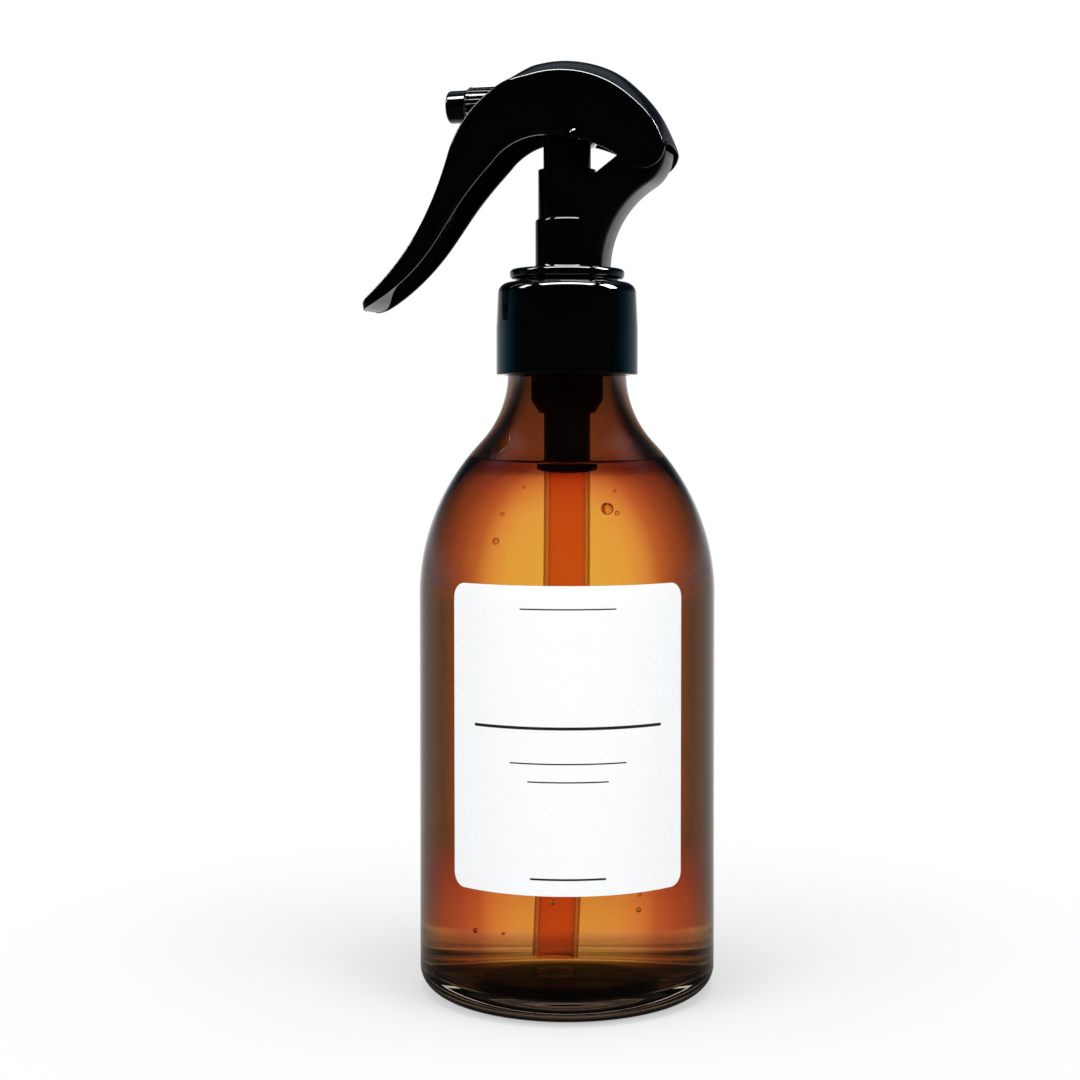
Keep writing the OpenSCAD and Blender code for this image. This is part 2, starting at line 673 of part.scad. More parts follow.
module trigger_lever() {
    inside = lever_w / 2 - cheek_t;
    stub_len = 2.4;
    boss_t = inside - strut_w / 2 - free_gap;
    notch_r = pin_d / 2 + pin_drift / 2 + 0.12;
    color([0.03, 0.03, 0.03]) {
        difference() {
            loft(lever_rings);
            along_y([pin_x + pin_drift / 2, pin_z], notch_r, lever_w + 2);
            along_x(-dome_r - 4, front_saddle_x, nozzle_rib_d / 2 + free_gap);
        }
        saddle(front_saddle_x);
        saddle(rear_saddle_x);
        for (side = [-1, 1]) {
            translate([0, side * (inside - boss_t / 2 + 0.2), 0])
                along_y(hinge_c, hinge_d / 2 + 1.2, boss_t + 0.4);
            translate([0, side * (inside - boss_t - stub_len / 2), 0])
                along_y(hinge_c, hinge_d / 2, stub_len + 0.2);
        }
    }
}

// ---------------------------------------------------------------- elbow and nozzle

module discharge_elbow() {
    ball_r_out = elbow_ball_d / 2;
    leg_r = 2.2;
    rear_x = 3.2;
    bore_r = channel_d / 2;
    color([0.05, 0.05, 0.05]) difference() {
        union() {
            along_x(cap_back_x + 0.4, rear_x, elbow_d / 2);
            along_x(post_end_x, cap_back_x + 0.5, post_d / 2);
            translate([0, 0, elbow_ball_z]) sphere(r = ball_r_out);
            translate([0, 0, elbow_ball_z]) cylinder(h = nozzle_z - elbow_ball_z, r = leg_r);
        }
        along_x(valve_x - 1, 0, bore_r);
        along_x(post_end_x - 1, valve_x, core_r + seat_gap);
        difference() {
            along_x(seal_ring_x - groove_w / 2, seal_ring_x + groove_w / 2, post_d / 2 + 1);
            along_x(seal_ring_x - groove_w, seal_ring_x + groove_w, post_d / 2 - ring_d - seat_gap);
        }
        translate([0, 0, elbow_ball_z - elbow_ball_d])
            cylinder(h = nozzle_z - elbow_ball_z + elbow_ball_d, r = bore_r);
    }
}

module outlet_valve() {
    color([0.85, 0.85, 0.8]) difference() {
        along_x(core_x + 0.1, valve_x - 0.1, core_r - fit_gap);
        along_x(core_x, valve_x - 0.9, core_r - 0.6);
    }
}

module swirl_core() {
    grooves = 3;
    color([0.9, 0.9, 0.88]) difference() {
        along_x(post_end_x - 0.3, core_x, core_r);
        for (i = [0:grooves - 1])
            translate([0, 0, nozzle_z]) rotate([i * 360 / grooves, 0, 0])
                translate([post_end_x - 1, -0.3, core_r - 0.5]) cube([core_x - post_end_x + 2, 0.6, 1]);
    }
}

// Round outline with evenly spaced ribs
function ribbed_circle(r, depth, count) = [for (i = [0:count - 1]) for (k = [0:3])
    polar([0, 0], k < 2 ? r : r - depth, (i + [0.05, 0.45, 0.6, 0.9][k]) * 360 / count)];

module nozzle_cap() {
    front_r = nozzle_front_d / 2;
    rib_r = nozzle_rib_d / 2;
    cone = 0.5;
    rib_depth = 0.3;
    color([0.03, 0.03, 0.03]) difference() {
        union() {
            translate([cap_step_x, 0, nozzle_z]) rotate([0, 90, 0])
                linear_extrude(nozzle_rib_len) polygon(ribbed_circle(rib_r, rib_depth, nozzle_ribs));
            translate([-nozzle_reach, 0, nozzle_z]) rotate([0, 90, 0]) rotate_extrude() polygon(concat(
                [[0, 0]], arc([front_r - 0.6, 0.6], 0.6, 270, 360, 4),
                [[front_r, nozzle_front_len - cone], [rib_r - rib_depth, nozzle_front_len],
                 [rib_r - rib_depth, nozzle_front_len + 1], [0, nozzle_front_len + 1]]));
        }
        along_x(post_end_x - 0.35, cap_back_x + 1, post_d / 2 + fit_gap);
        along_x(post_end_x - 0.35 - orifice_disc_t, post_end_x, orifice_disc_r + seat_gap);
        along_x(-nozzle_reach - 1, post_end_x, 1);
    }
}

module orifice_disc() {
    color([0.05, 0.05, 0.05]) difference() {
        along_x(post_end_x - 0.35 - orifice_disc_t, post_end_x - 0.35, orifice_disc_r);
        along_x(post_end_x - 4, post_end_x, orifice_d / 2);
        along_x(post_end_x - 1.4, post_end_x, 0.9);
    }
}

// Ring round the elbow's post that the cap turns on
module nozzle_seal() {
    color([0.1, 0.1, 0.1]) translate([seal_ring_x, 0, nozzle_z]) rotate([0, 90, 0])
        rotate_extrude() translate([post_d / 2 - ring_d / 2, 0]) circle(d = ring_d);
}

// ---------------------------------------------------------------- assembly

bottle();
front_label();
closure_cap();
neck_gasket();
pump_body();
stem_guide();
valve_housing();
ball_stop();
inlet_ball();
dip_tube();
return_spring();
piston_seal();
piston_stem();
trigger_lever();
discharge_elbow();
outlet_valve();
swirl_core();
nozzle_cap();
orifice_disc();
nozzle_seal();
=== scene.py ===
import math

import bmesh
import bpy
from mathutils import Matrix, Vector


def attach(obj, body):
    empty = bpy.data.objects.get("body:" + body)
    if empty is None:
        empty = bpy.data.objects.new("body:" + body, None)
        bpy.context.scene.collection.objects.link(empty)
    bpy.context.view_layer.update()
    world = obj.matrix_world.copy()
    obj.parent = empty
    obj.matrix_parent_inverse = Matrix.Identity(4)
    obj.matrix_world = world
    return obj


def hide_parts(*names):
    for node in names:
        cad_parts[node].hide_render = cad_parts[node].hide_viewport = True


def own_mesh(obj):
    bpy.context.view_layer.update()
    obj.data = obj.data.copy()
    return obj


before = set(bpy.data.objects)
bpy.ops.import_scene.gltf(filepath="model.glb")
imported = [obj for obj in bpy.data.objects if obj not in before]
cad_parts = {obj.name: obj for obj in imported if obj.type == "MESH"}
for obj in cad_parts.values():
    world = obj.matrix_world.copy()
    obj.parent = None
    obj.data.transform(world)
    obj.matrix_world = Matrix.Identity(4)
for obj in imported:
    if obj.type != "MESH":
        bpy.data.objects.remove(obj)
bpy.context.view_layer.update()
MM = 0.001

# ---------------------------------------------------------------- sizes in millimetres, as in the frame

# Glass
LIP_Z = 143.723
BODY_R = 31.2
BODY_H = 83.0
GLASS_WALL = 2.4
BASE_T = 4.5
PUSH_UP = 2.6
HEEL_R = 4.6
SHOULDER_R = 46.4
THROAT_R = 21.32
NECK_R = 12.5
NECK_BORE_R = 9.9
LIP_EDGE = 0.8
NECK_Z = 129.8
THREAD_TOP = 142.4
LIQUID_Z = 110.0

# Label; its angles are in degrees
LABEL = dict(z0=26.2, z1=87.3, half_angle=46.5, turn=-74.6, thick=0.15, corner=2.8)

# Pump
FLANGE_TOP = 151.423
BARREL_TOP = 170.923
BARREL_TOP_R = 6.1
HINGE = (17.8, 175.923)
HINGE_R = 3.2
HINGE_HALF_W = 5.3
STRUT_TOP = 175.123
PIN = (3.3, 178.823)
NOZZLE_Z = 186.523

# The camera's side, in metres and degrees
VIEW_AZ, DIST, EYE_Z = 15.06, 0.39396, 0.11997
PITCH = 1.897
BACK = Vector((-math.sin(math.radians(VIEW_AZ)), math.cos(math.radians(VIEW_AZ)), 0))
RIGHT = (math.cos(math.radians(VIEW_AZ)), math.sin(math.radians(VIEW_AZ)), 0)


# ---------------------------------------------------------------- geometry helpers

def polar(c, r, a):
    """Point at radius r and angle a, in degrees, from c."""
    return (c[0] + r * math.cos(math.radians(a)), c[1] + r * math.sin(math.radians(a)))


def arc(c, r, a0, a1, n):
    """n + 1 points on an arc."""
    return [polar(c, r, a0 + (a1 - a0) * i / n) for i in range(n + 1)]


def smooth(t):
    """0 to 1 with a soft start and end."""
    t = min(1.0, max(0.0, t))
    return t * t * (3 - 2 * t)


def cubic(p0, p1, p2, p3, t):
    """Point at t on a Bezier curve."""
    a, b, c, d = (1 - t) ** 3, 3 * (1 - t) ** 2 * t, 3 * (1 - t) * t * t, t ** 3
    return tuple(a * p0[i] + b * p1[i] + c * p2[i] + d * p3[i] for i in range(2))


def fillet(points, radii, seg=4):
    """Rounds each corner of a closed outline; every corner gives seg + 1 points, or one where its radius is 0."""
    most, flatter = 0.45, 0.0875  # share of a side that a corner may take, and of the chord in each bend
    out = []
    n = len(points)
    for i, p in enumerate(points):
        if radii[i] <= 0:
            out.append(tuple(p))
            continue
        v, a, b = Vector(p), Vector(points[i - 1]), Vector(points[(i + 1) % n])
        da, db = a - v, b - v
        la, lb = da.length, db.length
        if la < 1e-6 or lb < 1e-6:
            out += [tuple(p)] * (seg + 1)
            continue
        da, db = da / la, db / lb
        half = math.acos(max(-1.0, min(1.0, da.dot(db)))) / 2
        t = min(radii[i] / max(math.tan(half), 1e-6), most * la, most * lb)
        s, e = v + da * t, v + db * t
        for k in range(seg + 1):
            u = k / seg
            bend = s * (1 - u) ** 2 + v * (2 * u * (1 - u)) + e * u * u
            chord = s * (1 - u) + e * u
            q = bend * (1 - flatter) + chord * flatter
            out.append((q[0], q[1]))
    return out


def add_mesh(name, verts, faces):
    """An object from points in millimetres, with doubles merged and every face turned outward."""
    mesh = bpy.data.meshes.new(name)
    mesh.from_pydata([(x * MM, y * MM, z * MM) for x, y, z in verts], [], faces)
    work = bmesh.new()
    work.from_mesh(mesh)
    bmesh.ops.remove_doubles(work, verts=work.verts, dist=1e-7)
    bmesh.ops.recalc_face_normals(work, faces=work.faces)
    if work.calc_volume(signed=True) < 0:
        bmesh.ops.reverse_faces(work, faces=work.faces)
    work.to_mesh(mesh)
    work.free()
    obj = bpy.data.objects.new(name, mesh)
    bpy.context.scene.collection.objects.link(obj)
    return obj


def finish_piece(obj, material, body, replaces=(), sharp=35.0):
    """Material and body of a visible piece, which hides the frame's parts that it replaces; edges over sharp degrees
    stay sharp.
    """
    mesh = obj.data
    mesh.materials.clear()
    mesh.materials.append(material)
    mesh.shade_smooth()
    if sharp:
        mesh.set_sharp_from_angle(angle=math.radians(sharp))
    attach(obj, body)
    if replaces:
        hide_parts(*replaces)


def make(name, part, material, body, replaces=(), sharp=35.0):
    """A visible piece from the points and faces of a part."""
    finish_piece(add_mesh(name, *part), material, body, replaces, sharp)


def revolve(profile, seg=192, radius=None):
    """Closed outline of (r, z) turned about Z; radius(r, z, angle) may move a point."""
    verts, faces, rings = [], [], []
    for r, z in profile:
        if r < 1e-6:
            rings.append([len(verts)] * seg)
            verts.append((0.0, 0.0, z))
            continue
        ring = []
        for i in range(seg):
            a = 2 * math.pi * i / seg
            rr = radius(r, z, a) if radius else r
            ring.append(len(verts))
            verts.append((rr * math.cos(a), rr * math.sin(a), z))
        rings.append(ring)
    for low, high in zip(rings, rings[1:] + rings[:1]):
        if low[0] == low[1] and high[0] == high[1]:
            continue
        for i in range(seg):
            j = (i + 1) % seg
            quad = [low[i], low[j], high[j], high[i]]
            face = [v for m, v in enumerate(quad) if v not in quad[:m]]
            if len(face) > 2:
                faces.append(face)
    return verts, faces


def loft(rings):
    """Skin over rings of equal length, closed at both ends."""
    m, last = len(rings[0]), (len(rings) - 1) * len(rings[0])
    verts = [tuple(p) for ring in rings for p in ring]
    faces = []
    for i in range(0, last, m):
        for j in range(m):
            k = (j + 1) % m
            faces.append((i + j, i + k, i + m + k, i + m + j))
    faces.append(tuple(range(m))[::-1])
    faces.append(tuple(last + j for j in range(m)))
    return verts, faces


def turned(part, matrix):
    """A part with every point moved by a matrix."""
    verts, faces = part
    return [tuple(matrix @ Vector(v)) for v in verts], faces


def across(part, x, z):
    """A revolved part laid along Y, its axis through x and z."""
    return turned(part, Matrix.Translation((x, 0, z)) @ ALONG_Y)


def joined(*parts):
    """Parts put together in one; they may overlap."""
    verts, faces = [], []
    for pv, pf in parts:
        base = len(verts)
        verts += pv
        faces += [tuple(i + base for i in f) for f in pf]
    return verts, faces


ALONG_X = Matrix.Rotation(math.radians(90), 4, "Y")
ALONG_Y = Matrix.Rotation(math.radians(-90), 4, "X")


def cut(obj, part):
    """Takes a closed part out of an object's mesh."""
    tool = add_mesh("cutter", *part)
    mod = obj.modifiers.new("cut", "BOOLEAN")
    mod.operation = "DIFFERENCE"
    mod.object = tool
    mod.solver = "EXACT"
    with bpy.context.temp_override(object=obj, active_object=obj, selected_objects=[obj]):
        bpy.ops.object.modifier_apply(modifier=mod.name)
    bpy.data.objects.remove(tool)


# ---------------------------------------------------------------- material helpers

WHITE, NONE = (1, 1, 1), (0, 0, 0)


def nodes_of(name):
    """A new material, its node tree and its Principled shader."""
    mat = bpy.data.materials.new(name)
    mat.use_nodes = True
    tree = mat.node_tree
    return mat, tree, tree.nodes["Principled BSDF"]


def node(tree, kind, **values):
    """A node; values that start with in_ go to its inputs."""
    n = tree.nodes.new(kind)
    for key, value in values.items():
        if key.startswith("in_"):
            n.inputs[key[3:].replace("_", " ")].default_value = value
        else:
            setattr(n, key, value)
    return n


def put(tree, socket, value):
    """Links a socket, or sets it to a value."""
    if isinstance(value, bpy.types.NodeSocket):
        tree.links.new(value, socket)
    else:
        socket.default_value = value


def grey(value):
    return (value,) * 3


def coloured(tree, value, stops):
    """Colour ramp read at value."""
    n = tree.nodes.new("ShaderNodeValToRGB")
    while len(n.color_ramp.elements) < len(stops):
        n.color_ramp.elements.new(0.5)
    for element, (position, colour) in zip(n.color_ramp.elements, stops):
        element.position = position
        element.color = (*colour, 1.0)
    tree.links.new(value, n.inputs["Fac"])
    return n.outputs["Color"]


def mixed(tree, factor, a, b, blend="MIX"):
    """Colour mix of a and b."""
    n = node(tree, "ShaderNodeMix", data_type="RGBA", blend_type=blend)
    for key, value in (("Factor", factor), ("A", a), ("B", b)):
        put(tree, n.inputs[key], value)
    return n.outputs["Result"]


def maths(tree, operation, *values):
    n = node(tree, "ShaderNodeMath", operation=operation)
    for socket, value in zip(n.inputs, values):
        put(tree, socket, value)
    return n.outputs[0]


def vector(tree, operation, *values):
    n = node(tree, "ShaderNodeVectorMath", operation=operation)
    for socket, value in zip(n.inputs, values):
        put(tree, socket, value)
    return n.outputs["Value" if operation in ("LENGTH", "DOT_PRODUCT") else "Vector"]


def mapped(tree, value, near, away, low=0.0, high=1.0, kind="SMOOTHSTEP"):
    """low at near and high at away."""
    n = node(tree, "ShaderNodeMapRange", interpolation_type=kind)
    for key, number in (("From Min", near), ("From Max", away), ("To Min", low), ("To Max", high)):
        n.inputs[key].default_value = number
    tree.links.new(value, n.inputs["Value"])
    return n.outputs["Result"]


def position(tree):
    """Place in the row frame, in metres, and its height."""
    co = tree.nodes.new("ShaderNodeTexCoord")
    split = tree.nodes.new("ShaderNodeSeparateXYZ")
    tree.links.new(co.outputs["Object"], split.inputs[0])
    return co.outputs["Object"], split.outputs["Z"]


def grain(tree, place, scale, detail, rough=0.5):
    """Noise with about scale features to the metre."""
    n = node(tree, "ShaderNodeTexNoise", in_Scale=scale, in_Detail=detail, in_Roughness=rough)
    tree.links.new(place, n.inputs["Vector"])
    return n.outputs["Fac"]


def bump(tree, bsdf, source, strength, distance):
    """Relief of a shader; distance is in metres."""
    n = node(tree, "ShaderNodeBump", in_Strength=strength, in_Distance=distance)
    tree.links.new(source, n.inputs["Height"])
    tree.links.new(n.outputs["Normal"], bsdf.inputs["Normal"])


def facing(tree):
    """0 where a face is seen straight on, 1 at its outline."""
    return node(tree, "ShaderNodeLayerWeight", in_Blend=0.5).outputs["Facing"]


# ---------------------------------------------------------------- materials

def moulded_plastic(name, colour, rough, mottled):
    """Moulded plastic: fine specks in the gloss, a faint flow in the colour, and a slow waviness of the skin."""
    mat, tree, bsdf = nodes_of(name)
    place, _ = position(tree)
    flow, specks = grain(tree, place, 220.0, 3.0), grain(tree, place, 1300.0, 2.0, 0.6)
    gloss = coloured(tree, specks, [(0.3, grey(rough - mottled)), (0.7, grey(rough + mottled))])
    tree.links.new(gloss, bsdf.inputs["Roughness"])
    shade = coloured(tree, flow, [(0.3, [c * 0.8 for c in colour]), (0.7, [min(1, c * 1.2) for c in colour])])
    tree.links.new(shade, bsdf.inputs["Base Color"])
    bump(tree, bsdf, flow, 0.25, 0.00002)
    bsdf.inputs["IOR"].default_value = 1.5
    return mat


def amber_glass():
    """Amber glass with the faint waves of blown glass, and painted shade: darker up the neck, a dark band at the
    liquid line, near black at the base, whose glass is also thick, and darker towards the outline.
    """
    mat, tree, bsdf = nodes_of("amber_glass")
    place, z = position(tree)
    share = mapped(tree, z, 0.0, 0.144, kind="LINEAR")
    body = (0.96, 0.70, 0.38)
    # Painted shade by height: the glass darkens into a dark band at the liquid line and stays darker up the neck
    tint_and_painted_shade = coloured(tree, share, [
        (0.0, body), (0.7, body), (0.735, (0.88, 0.58, 0.34)), (0.751, (0.7, 0.42, 0.25)),
        (0.757, (0.3, 0.13, 0.09)), (0.767, (0.3, 0.13, 0.09)), (0.78, (0.42, 0.18, 0.09)),
        (0.83, (0.38, 0.17, 0.09)), (0.87, (0.28, 0.15, 0.09)), (1.0, (0.22, 0.13, 0.09))])
    # Painted shade on the round of the base, outside the floor: near black at the bottom, partly for the thick glass
    # there
    flat = vector(tree, "MULTIPLY", place, (1, 1, 0))
    reach = vector(tree, "LENGTH", flat)
    heel = coloured(tree, share, [(0.0, (0.02, 0.02, 0.03)), (0.012, (0.05, 0.05, 0.06)),
                                  (0.03, (0.46, 0.4, 0.45)), (0.05, WHITE)])
    tint_and_painted_shade = mixed(tree, mapped(tree, reach, 0.0275, 0.029), tint_and_painted_shade, heel, "MULTIPLY")
    # Painted shadow on the front of the floor, towards the camera's side, where the base is seen through its own
    # thickness: it stands in for the shadow under the bottle
    low = mapped(tree, z, 0.0072, 0.0084, 1.0, 0.0)
    ahead = vector(tree, "LENGTH", vector(tree, "ADD", flat, BACK * 0.020))
    front = mapped(tree, ahead, 0.0165, 0.0195, 1.0, 0.0)
    tint_and_painted_shade = mixed(tree, maths(tree, "MULTIPLY", front, low), tint_and_painted_shade, (0.06, 0.035, 0.025, 1))
    # Everywhere but on the floor, painted shade towards the outline, partly for the longer way through the glass there
    edge = coloured(tree, facing(tree), [
        (0.0, WHITE), (0.38, WHITE), (0.55, (0.85, 0.9, 0.95)), (0.75, (0.45, 0.54, 0.6)),
        (0.9, (0.2, 0.26, 0.3)), (1.0, (0.12, 0.16, 0.2))])
    floor = maths(tree, "MULTIPLY", mapped(tree, reach, 0.0275, 0.029, 1.0, 0.0), low)
    tint_and_painted_shade = mixed(tree, maths(tree, "SUBTRACT", 1.0, floor), tint_and_painted_shade, edge, "MULTIPLY")
    tree.links.new(tint_and_painted_shade, bsdf.inputs["Base Color"])
    bump(tree, bsdf, grain(tree, place, 45.0, 1.0), 0.12, 0.0002)
    bsdf.inputs["Transmission Weight"].default_value = 1.0
    bsdf.inputs["Roughness"].default_value = 0.015
    bsdf.inputs["IOR"].default_value = 1.5
    return mat


def orange_liquid():
    """Orange soap with a painted yellow glow in the middle and painted shade turning brown towards the sides, darker
    beside the label and around its lower edge.
    """
    mat, tree, bsdf = nodes_of("orange_liquid")
    _, z = position(tree)
    share = mapped(tree, z, 0.0, 0.1, kind="LINEAR")
    turn = facing(tree)
    # Painted glow and shade by how squarely the surface is seen: yellow in the middle, brown towards the sides
    tint_and_painted_shade = coloured(tree, turn, [
        (0.0, (1.0, 0.9, 0.36)), (0.045, (1.0, 0.8, 0.37)), (0.075, (0.93, 0.5, 0.32)),
        (0.11, (0.53, 0.155, 0.12)), (0.155, (0.37, 0.105, 0.1)), (0.215, (0.38, 0.155, 0.11)),
        (0.25, (0.25, 0.17, 0.12)), (0.5, (0.22, 0.16, 0.13))])
    # Low at the floor the soap stays clear, without the painted tint
    floor = coloured(tree, share, [(0.071, WHITE), (0.078, NONE)])
    tint_and_painted_shade = mixed(tree, floor, tint_and_painted_shade, (1, 1, 1, 1))
    # Painted shade on the sides of the soap, over the height of the label
    shade_beside_label = coloured(tree, turn, [(0.11, WHITE), (0.155, (0.4, 0.52, 0.48)), (0.21, (0.16, 0.42, 0.32)),
                                   (0.25, (0.5, 0.88, 0.78))])
    label = coloured(tree, share, [(0.25, NONE), (0.34, WHITE), (0.82, WHITE), (0.92, NONE)])
    tint_and_painted_shade = mixed(tree, label, tint_and_painted_shade, shade_beside_label, "MULTIPLY")
    # Painted shade, darker and redder, around the lower edge of the label
    under = coloured(tree, share, [(0.1, WHITE), (0.17, (0.8, 0.52, 0.62)), (0.26, (0.78, 0.53, 0.62)),
                                   (0.34, WHITE)])
    tint_and_painted_shade = mixed(tree, 1.0, tint_and_painted_shade, under, "MULTIPLY")
    tree.links.new(tint_and_painted_shade, bsdf.inputs["Base Color"])
    bsdf.inputs["Transmission Weight"].default_value = 1.0
    bsdf.inputs["Roughness"].default_value = 0.0
    bsdf.inputs["IOR"].default_value = 1.34
    return mat


def clear_plastic(name, colour, ior, rough):
    """Clear skin with a fine haze; its index is the one against the liquid around it."""
    mat, tree, bsdf = nodes_of(name)
    place, _ = position(tree)
    haze = grain(tree, place, 900.0, 3.0)
    gloss = coloured(tree, haze, [(0.3, grey(rough * 0.7)), (0.7, grey(rough * 1.3))])
    tree.links.new(gloss, bsdf.inputs["Roughness"])
    shade = coloured(tree, haze, [(0.2, [c * 0.94 for c in colour]), (0.8, colour)])
    tree.links.new(shade, bsdf.inputs["Base Color"])
    bsdf.inputs["Transmission Weight"].default_value = 0.95
    bsdf.inputs["IOR"].default_value = ior
    return mat


# Plain rules on the label: height, half width along the glass and thickness
RULES = ((82.7, 9.5, 0.28), (59.3, 18.5, 0.6), (52.3, 11.5, 0.28), (48.7, 8.0, 0.28), (29.5, 7.5, 0.4))


def printed_rules(tree, place, z):
    """1 on the rules across the middle of the label."""
    front = math.radians(LABEL["turn"])
    side = maths(tree, "ABSOLUTE", vector(tree, "DOT_PRODUCT", place, (-math.sin(front), math.cos(front), 0)))
    total = 0.0
    for height, half, thick in RULES:
        row = maths(tree, "COMPARE", z, height * MM, thick / 2 * MM)
        width = maths(tree, "LESS_THAN", side, half * MM)
        total = maths(tree, "MAXIMUM", total, maths(tree, "MULTIPLY", row, width))
    return total


def label_paper():
    """Coated white label paper with a fine fibre grain and a few plain printed rules."""
    mat, tree, bsdf = nodes_of("label_paper")
    place, z = position(tree)
    fibre = grain(tree, place, 1500.0, 4.0, 0.65)
    paper = coloured(tree, fibre, [(0.3, (0.86, 0.86, 0.855)), (0.7, (0.90, 0.90, 0.895))])
    printed = mixed(tree, printed_rules(tree, place, z), paper, (0.012, 0.012, 0.014, 1))
    tree.links.new(printed, bsdf.inputs["Base Color"])
    bump(tree, bsdf, fibre, 0.12, 0.00002)
    bsdf.inputs["Roughness"].default_value = 0.42
    return mat


def steel(name, rough, colour):
    """Steel with the fine grain of drawing in its gloss."""
    mat, tree, bsdf = nodes_of(name)
    place, _ = position(tree)
    drawn = grain(tree, place, 3000.0, 2.0)
    gloss = coloured(tree, drawn, [(0.3, grey(rough * 0.7)), (0.7, grey(rough * 1.4))])
    tree.links.new(gloss, bsdf.inputs["Roughness"])
    bsdf.inputs["Base Color"].default_value = (*colour, 1)
    bsdf.inputs["Metallic"].default_value = 1.0
    return mat


BLACK = moulded_plastic("black_gloss", (0.0005, 0.0006, 0.0008), 0.032, 0.006)
NATURAL = moulded_plastic("natural_plastic", (0.74, 0.72, 0.66), 0.38, 0.05)
WHITE_SEAL = moulded_plastic("white_seal", (0.7, 0.7, 0.66), 0.55, 0.05)
BLACK_SEAL = moulded_plastic("black_seal", (0.012, 0.012, 0.012), 0.6, 0.05)
AMBER = amber_glass()
LIQUID = orange_liquid()
BUBBLE = clear_plastic("bubble_skin", (1.0, 0.86, 0.66), 0.88, 0.0)
TUBE = clear_plastic("tube_plastic", (0.97, 0.52, 0.42), 1.14, 0.16)
PAPER = label_paper()
WIRE = steel("steel_wire", 0.22, (0.62, 0.62, 0.63))
BALL = steel("steel_ball", 0.08, (0.7, 0.7, 0.72))


# ---------------------------------------------------------------- bottle, liquid, label

def upper(inset, neck, top):
    """Shoulder and throat from the straight side up to the neck; inset is the distance inward from the outside."""
    shoulder_x = BODY_R - SHOULDER_R
    r1, r2 = SHOULDER_R - inset, THROAT_R + inset
    cx = neck + r2
    cz = BODY_H + math.sqrt((r1 + r2) ** 2 - (cx - shoulder_x) ** 2)
    join = math.degrees(math.acos((cx - shoulder_x) / (r1 + r2)))
    return arc((shoulder_x, BODY_H), r1, 0, join, 48) + arc((cx, cz), r2, 180 + join, 180, 20)[1:] + [(neck, top)]


def dome(rise, r, base_z):
    """Rising floor from its middle out to radius r, where it is at base_z."""
    big = (r * r + rise * rise) / (2 * rise)
    a = math.degrees(math.asin(r / big))
    return arc((0, base_z + rise - big), big, 90, 90 - a, 16)


def inner_profile(extra=0.0):
    """Inside of the glass from the middle of the floor up to the neck; extra moves it into the glass."""
    wall = GLASS_WALL - extra
    inner_r = BODY_R - wall
    heel = HEEL_R - wall
    floor_r = inner_r - heel
    return (dome(PUSH_UP, floor_r, BASE_T - extra)
            + arc((floor_r, BASE_T - extra + heel), heel, 270, 360, 14)[1:]
            + upper(wall, NECK_BORE_R + extra, LIP_Z - LIP_EDGE))


def build_bottle():
    stand_r, stand_w = BODY_R - HEEL_R, 1.2
    pitch, thread_h, thread_half_w, first_z, turns = 3.2, 0.55, 0.95, 131.6, 2.4

    def threaded(r, z, a):
        if abs(r - NECK_R) > 1e-6 or z > THREAD_TOP:
            return r
        best = 0.0
        for k in range(math.ceil(turns)):
            t = a / (2 * math.pi) + k
            d = abs(z - (first_z + t * pitch)) / thread_half_w
            if t <= turns and d < 1:
                best = max(best, min(1.0, t * 6, (turns - t) * 6) * smooth((1 - d) * 1.6))
        return r + thread_h * best

    step, steps = 0.16, 80
    neck = [(NECK_R, NECK_Z + step * i) for i in range(1, steps)]
    outer = dome(PUSH_UP, stand_r - stand_w, 0.0) + [(stand_r, 0.0)]
    outer += arc((stand_r, HEEL_R), HEEL_R, 270, 360, 24)[1:]
    outer += upper(0, NECK_R, NECK_Z) + [p for p in neck if p[1] < LIP_Z - LIP_EDGE - 0.05]
    lip = arc((NECK_R - LIP_EDGE, LIP_Z - LIP_EDGE), LIP_EDGE, 0, 90, 6)
    lip += arc((NECK_BORE_R + LIP_EDGE, LIP_Z - LIP_EDGE), LIP_EDGE, 90, 180, 6)
    part = revolve(outer + lip + inner_profile()[::-1][1:], 256, threaded)
    make("glass_bottle", part, AMBER, "bottle", ["bottle"], sharp=50)


def inner_radius(z, extra=0.0):
    """Radius of the inside at a height."""
    pts = inner_profile(extra)
    best = None
    for (r0, z0), (r1, z1) in zip(pts, pts[1:]):
        if z0 <= z <= z1 and z1 > z0:
            best = r0 + (r1 - r0) * (z - z0) / (z1 - z0)
    return best


def build_liquid():
    """The soap, its skin just inside the glass, with a meniscus that climbs the wall."""
    into_glass, climb, width = 0.12, 0.9, 2.6
    crest = LIQUID_Z + climb
    side = [p for p in inner_profile(into_glass) if p[1] < crest] + [(inner_radius(crest, into_glass), crest)]
    inside = inner_radius(LIQUID_Z)
    meniscus = [(inside - width * t, LIQUID_Z + climb * (1 - t) ** 3)
                for t in (0.0, 0.06, 0.14, 0.25, 0.4, 0.6, 0.8, 1.0)]
    top = [((inside - width) * (1 - k / 6), LIQUID_Z) for k in range(1, 6)]
    part = revolve(side + meniscus + top + [(0.0, LIQUID_Z)])
    make("soap_liquid", part, LIQUID, "bottle", sharp=60)


def side_r(z):
    """Radius of the outside, up to the top of the label."""
    if z <= BODY_H:
        return BODY_R
    return BODY_R - SHOULDER_R + math.sqrt(SHOULDER_R ** 2 - (z - BODY_H) ** 2)


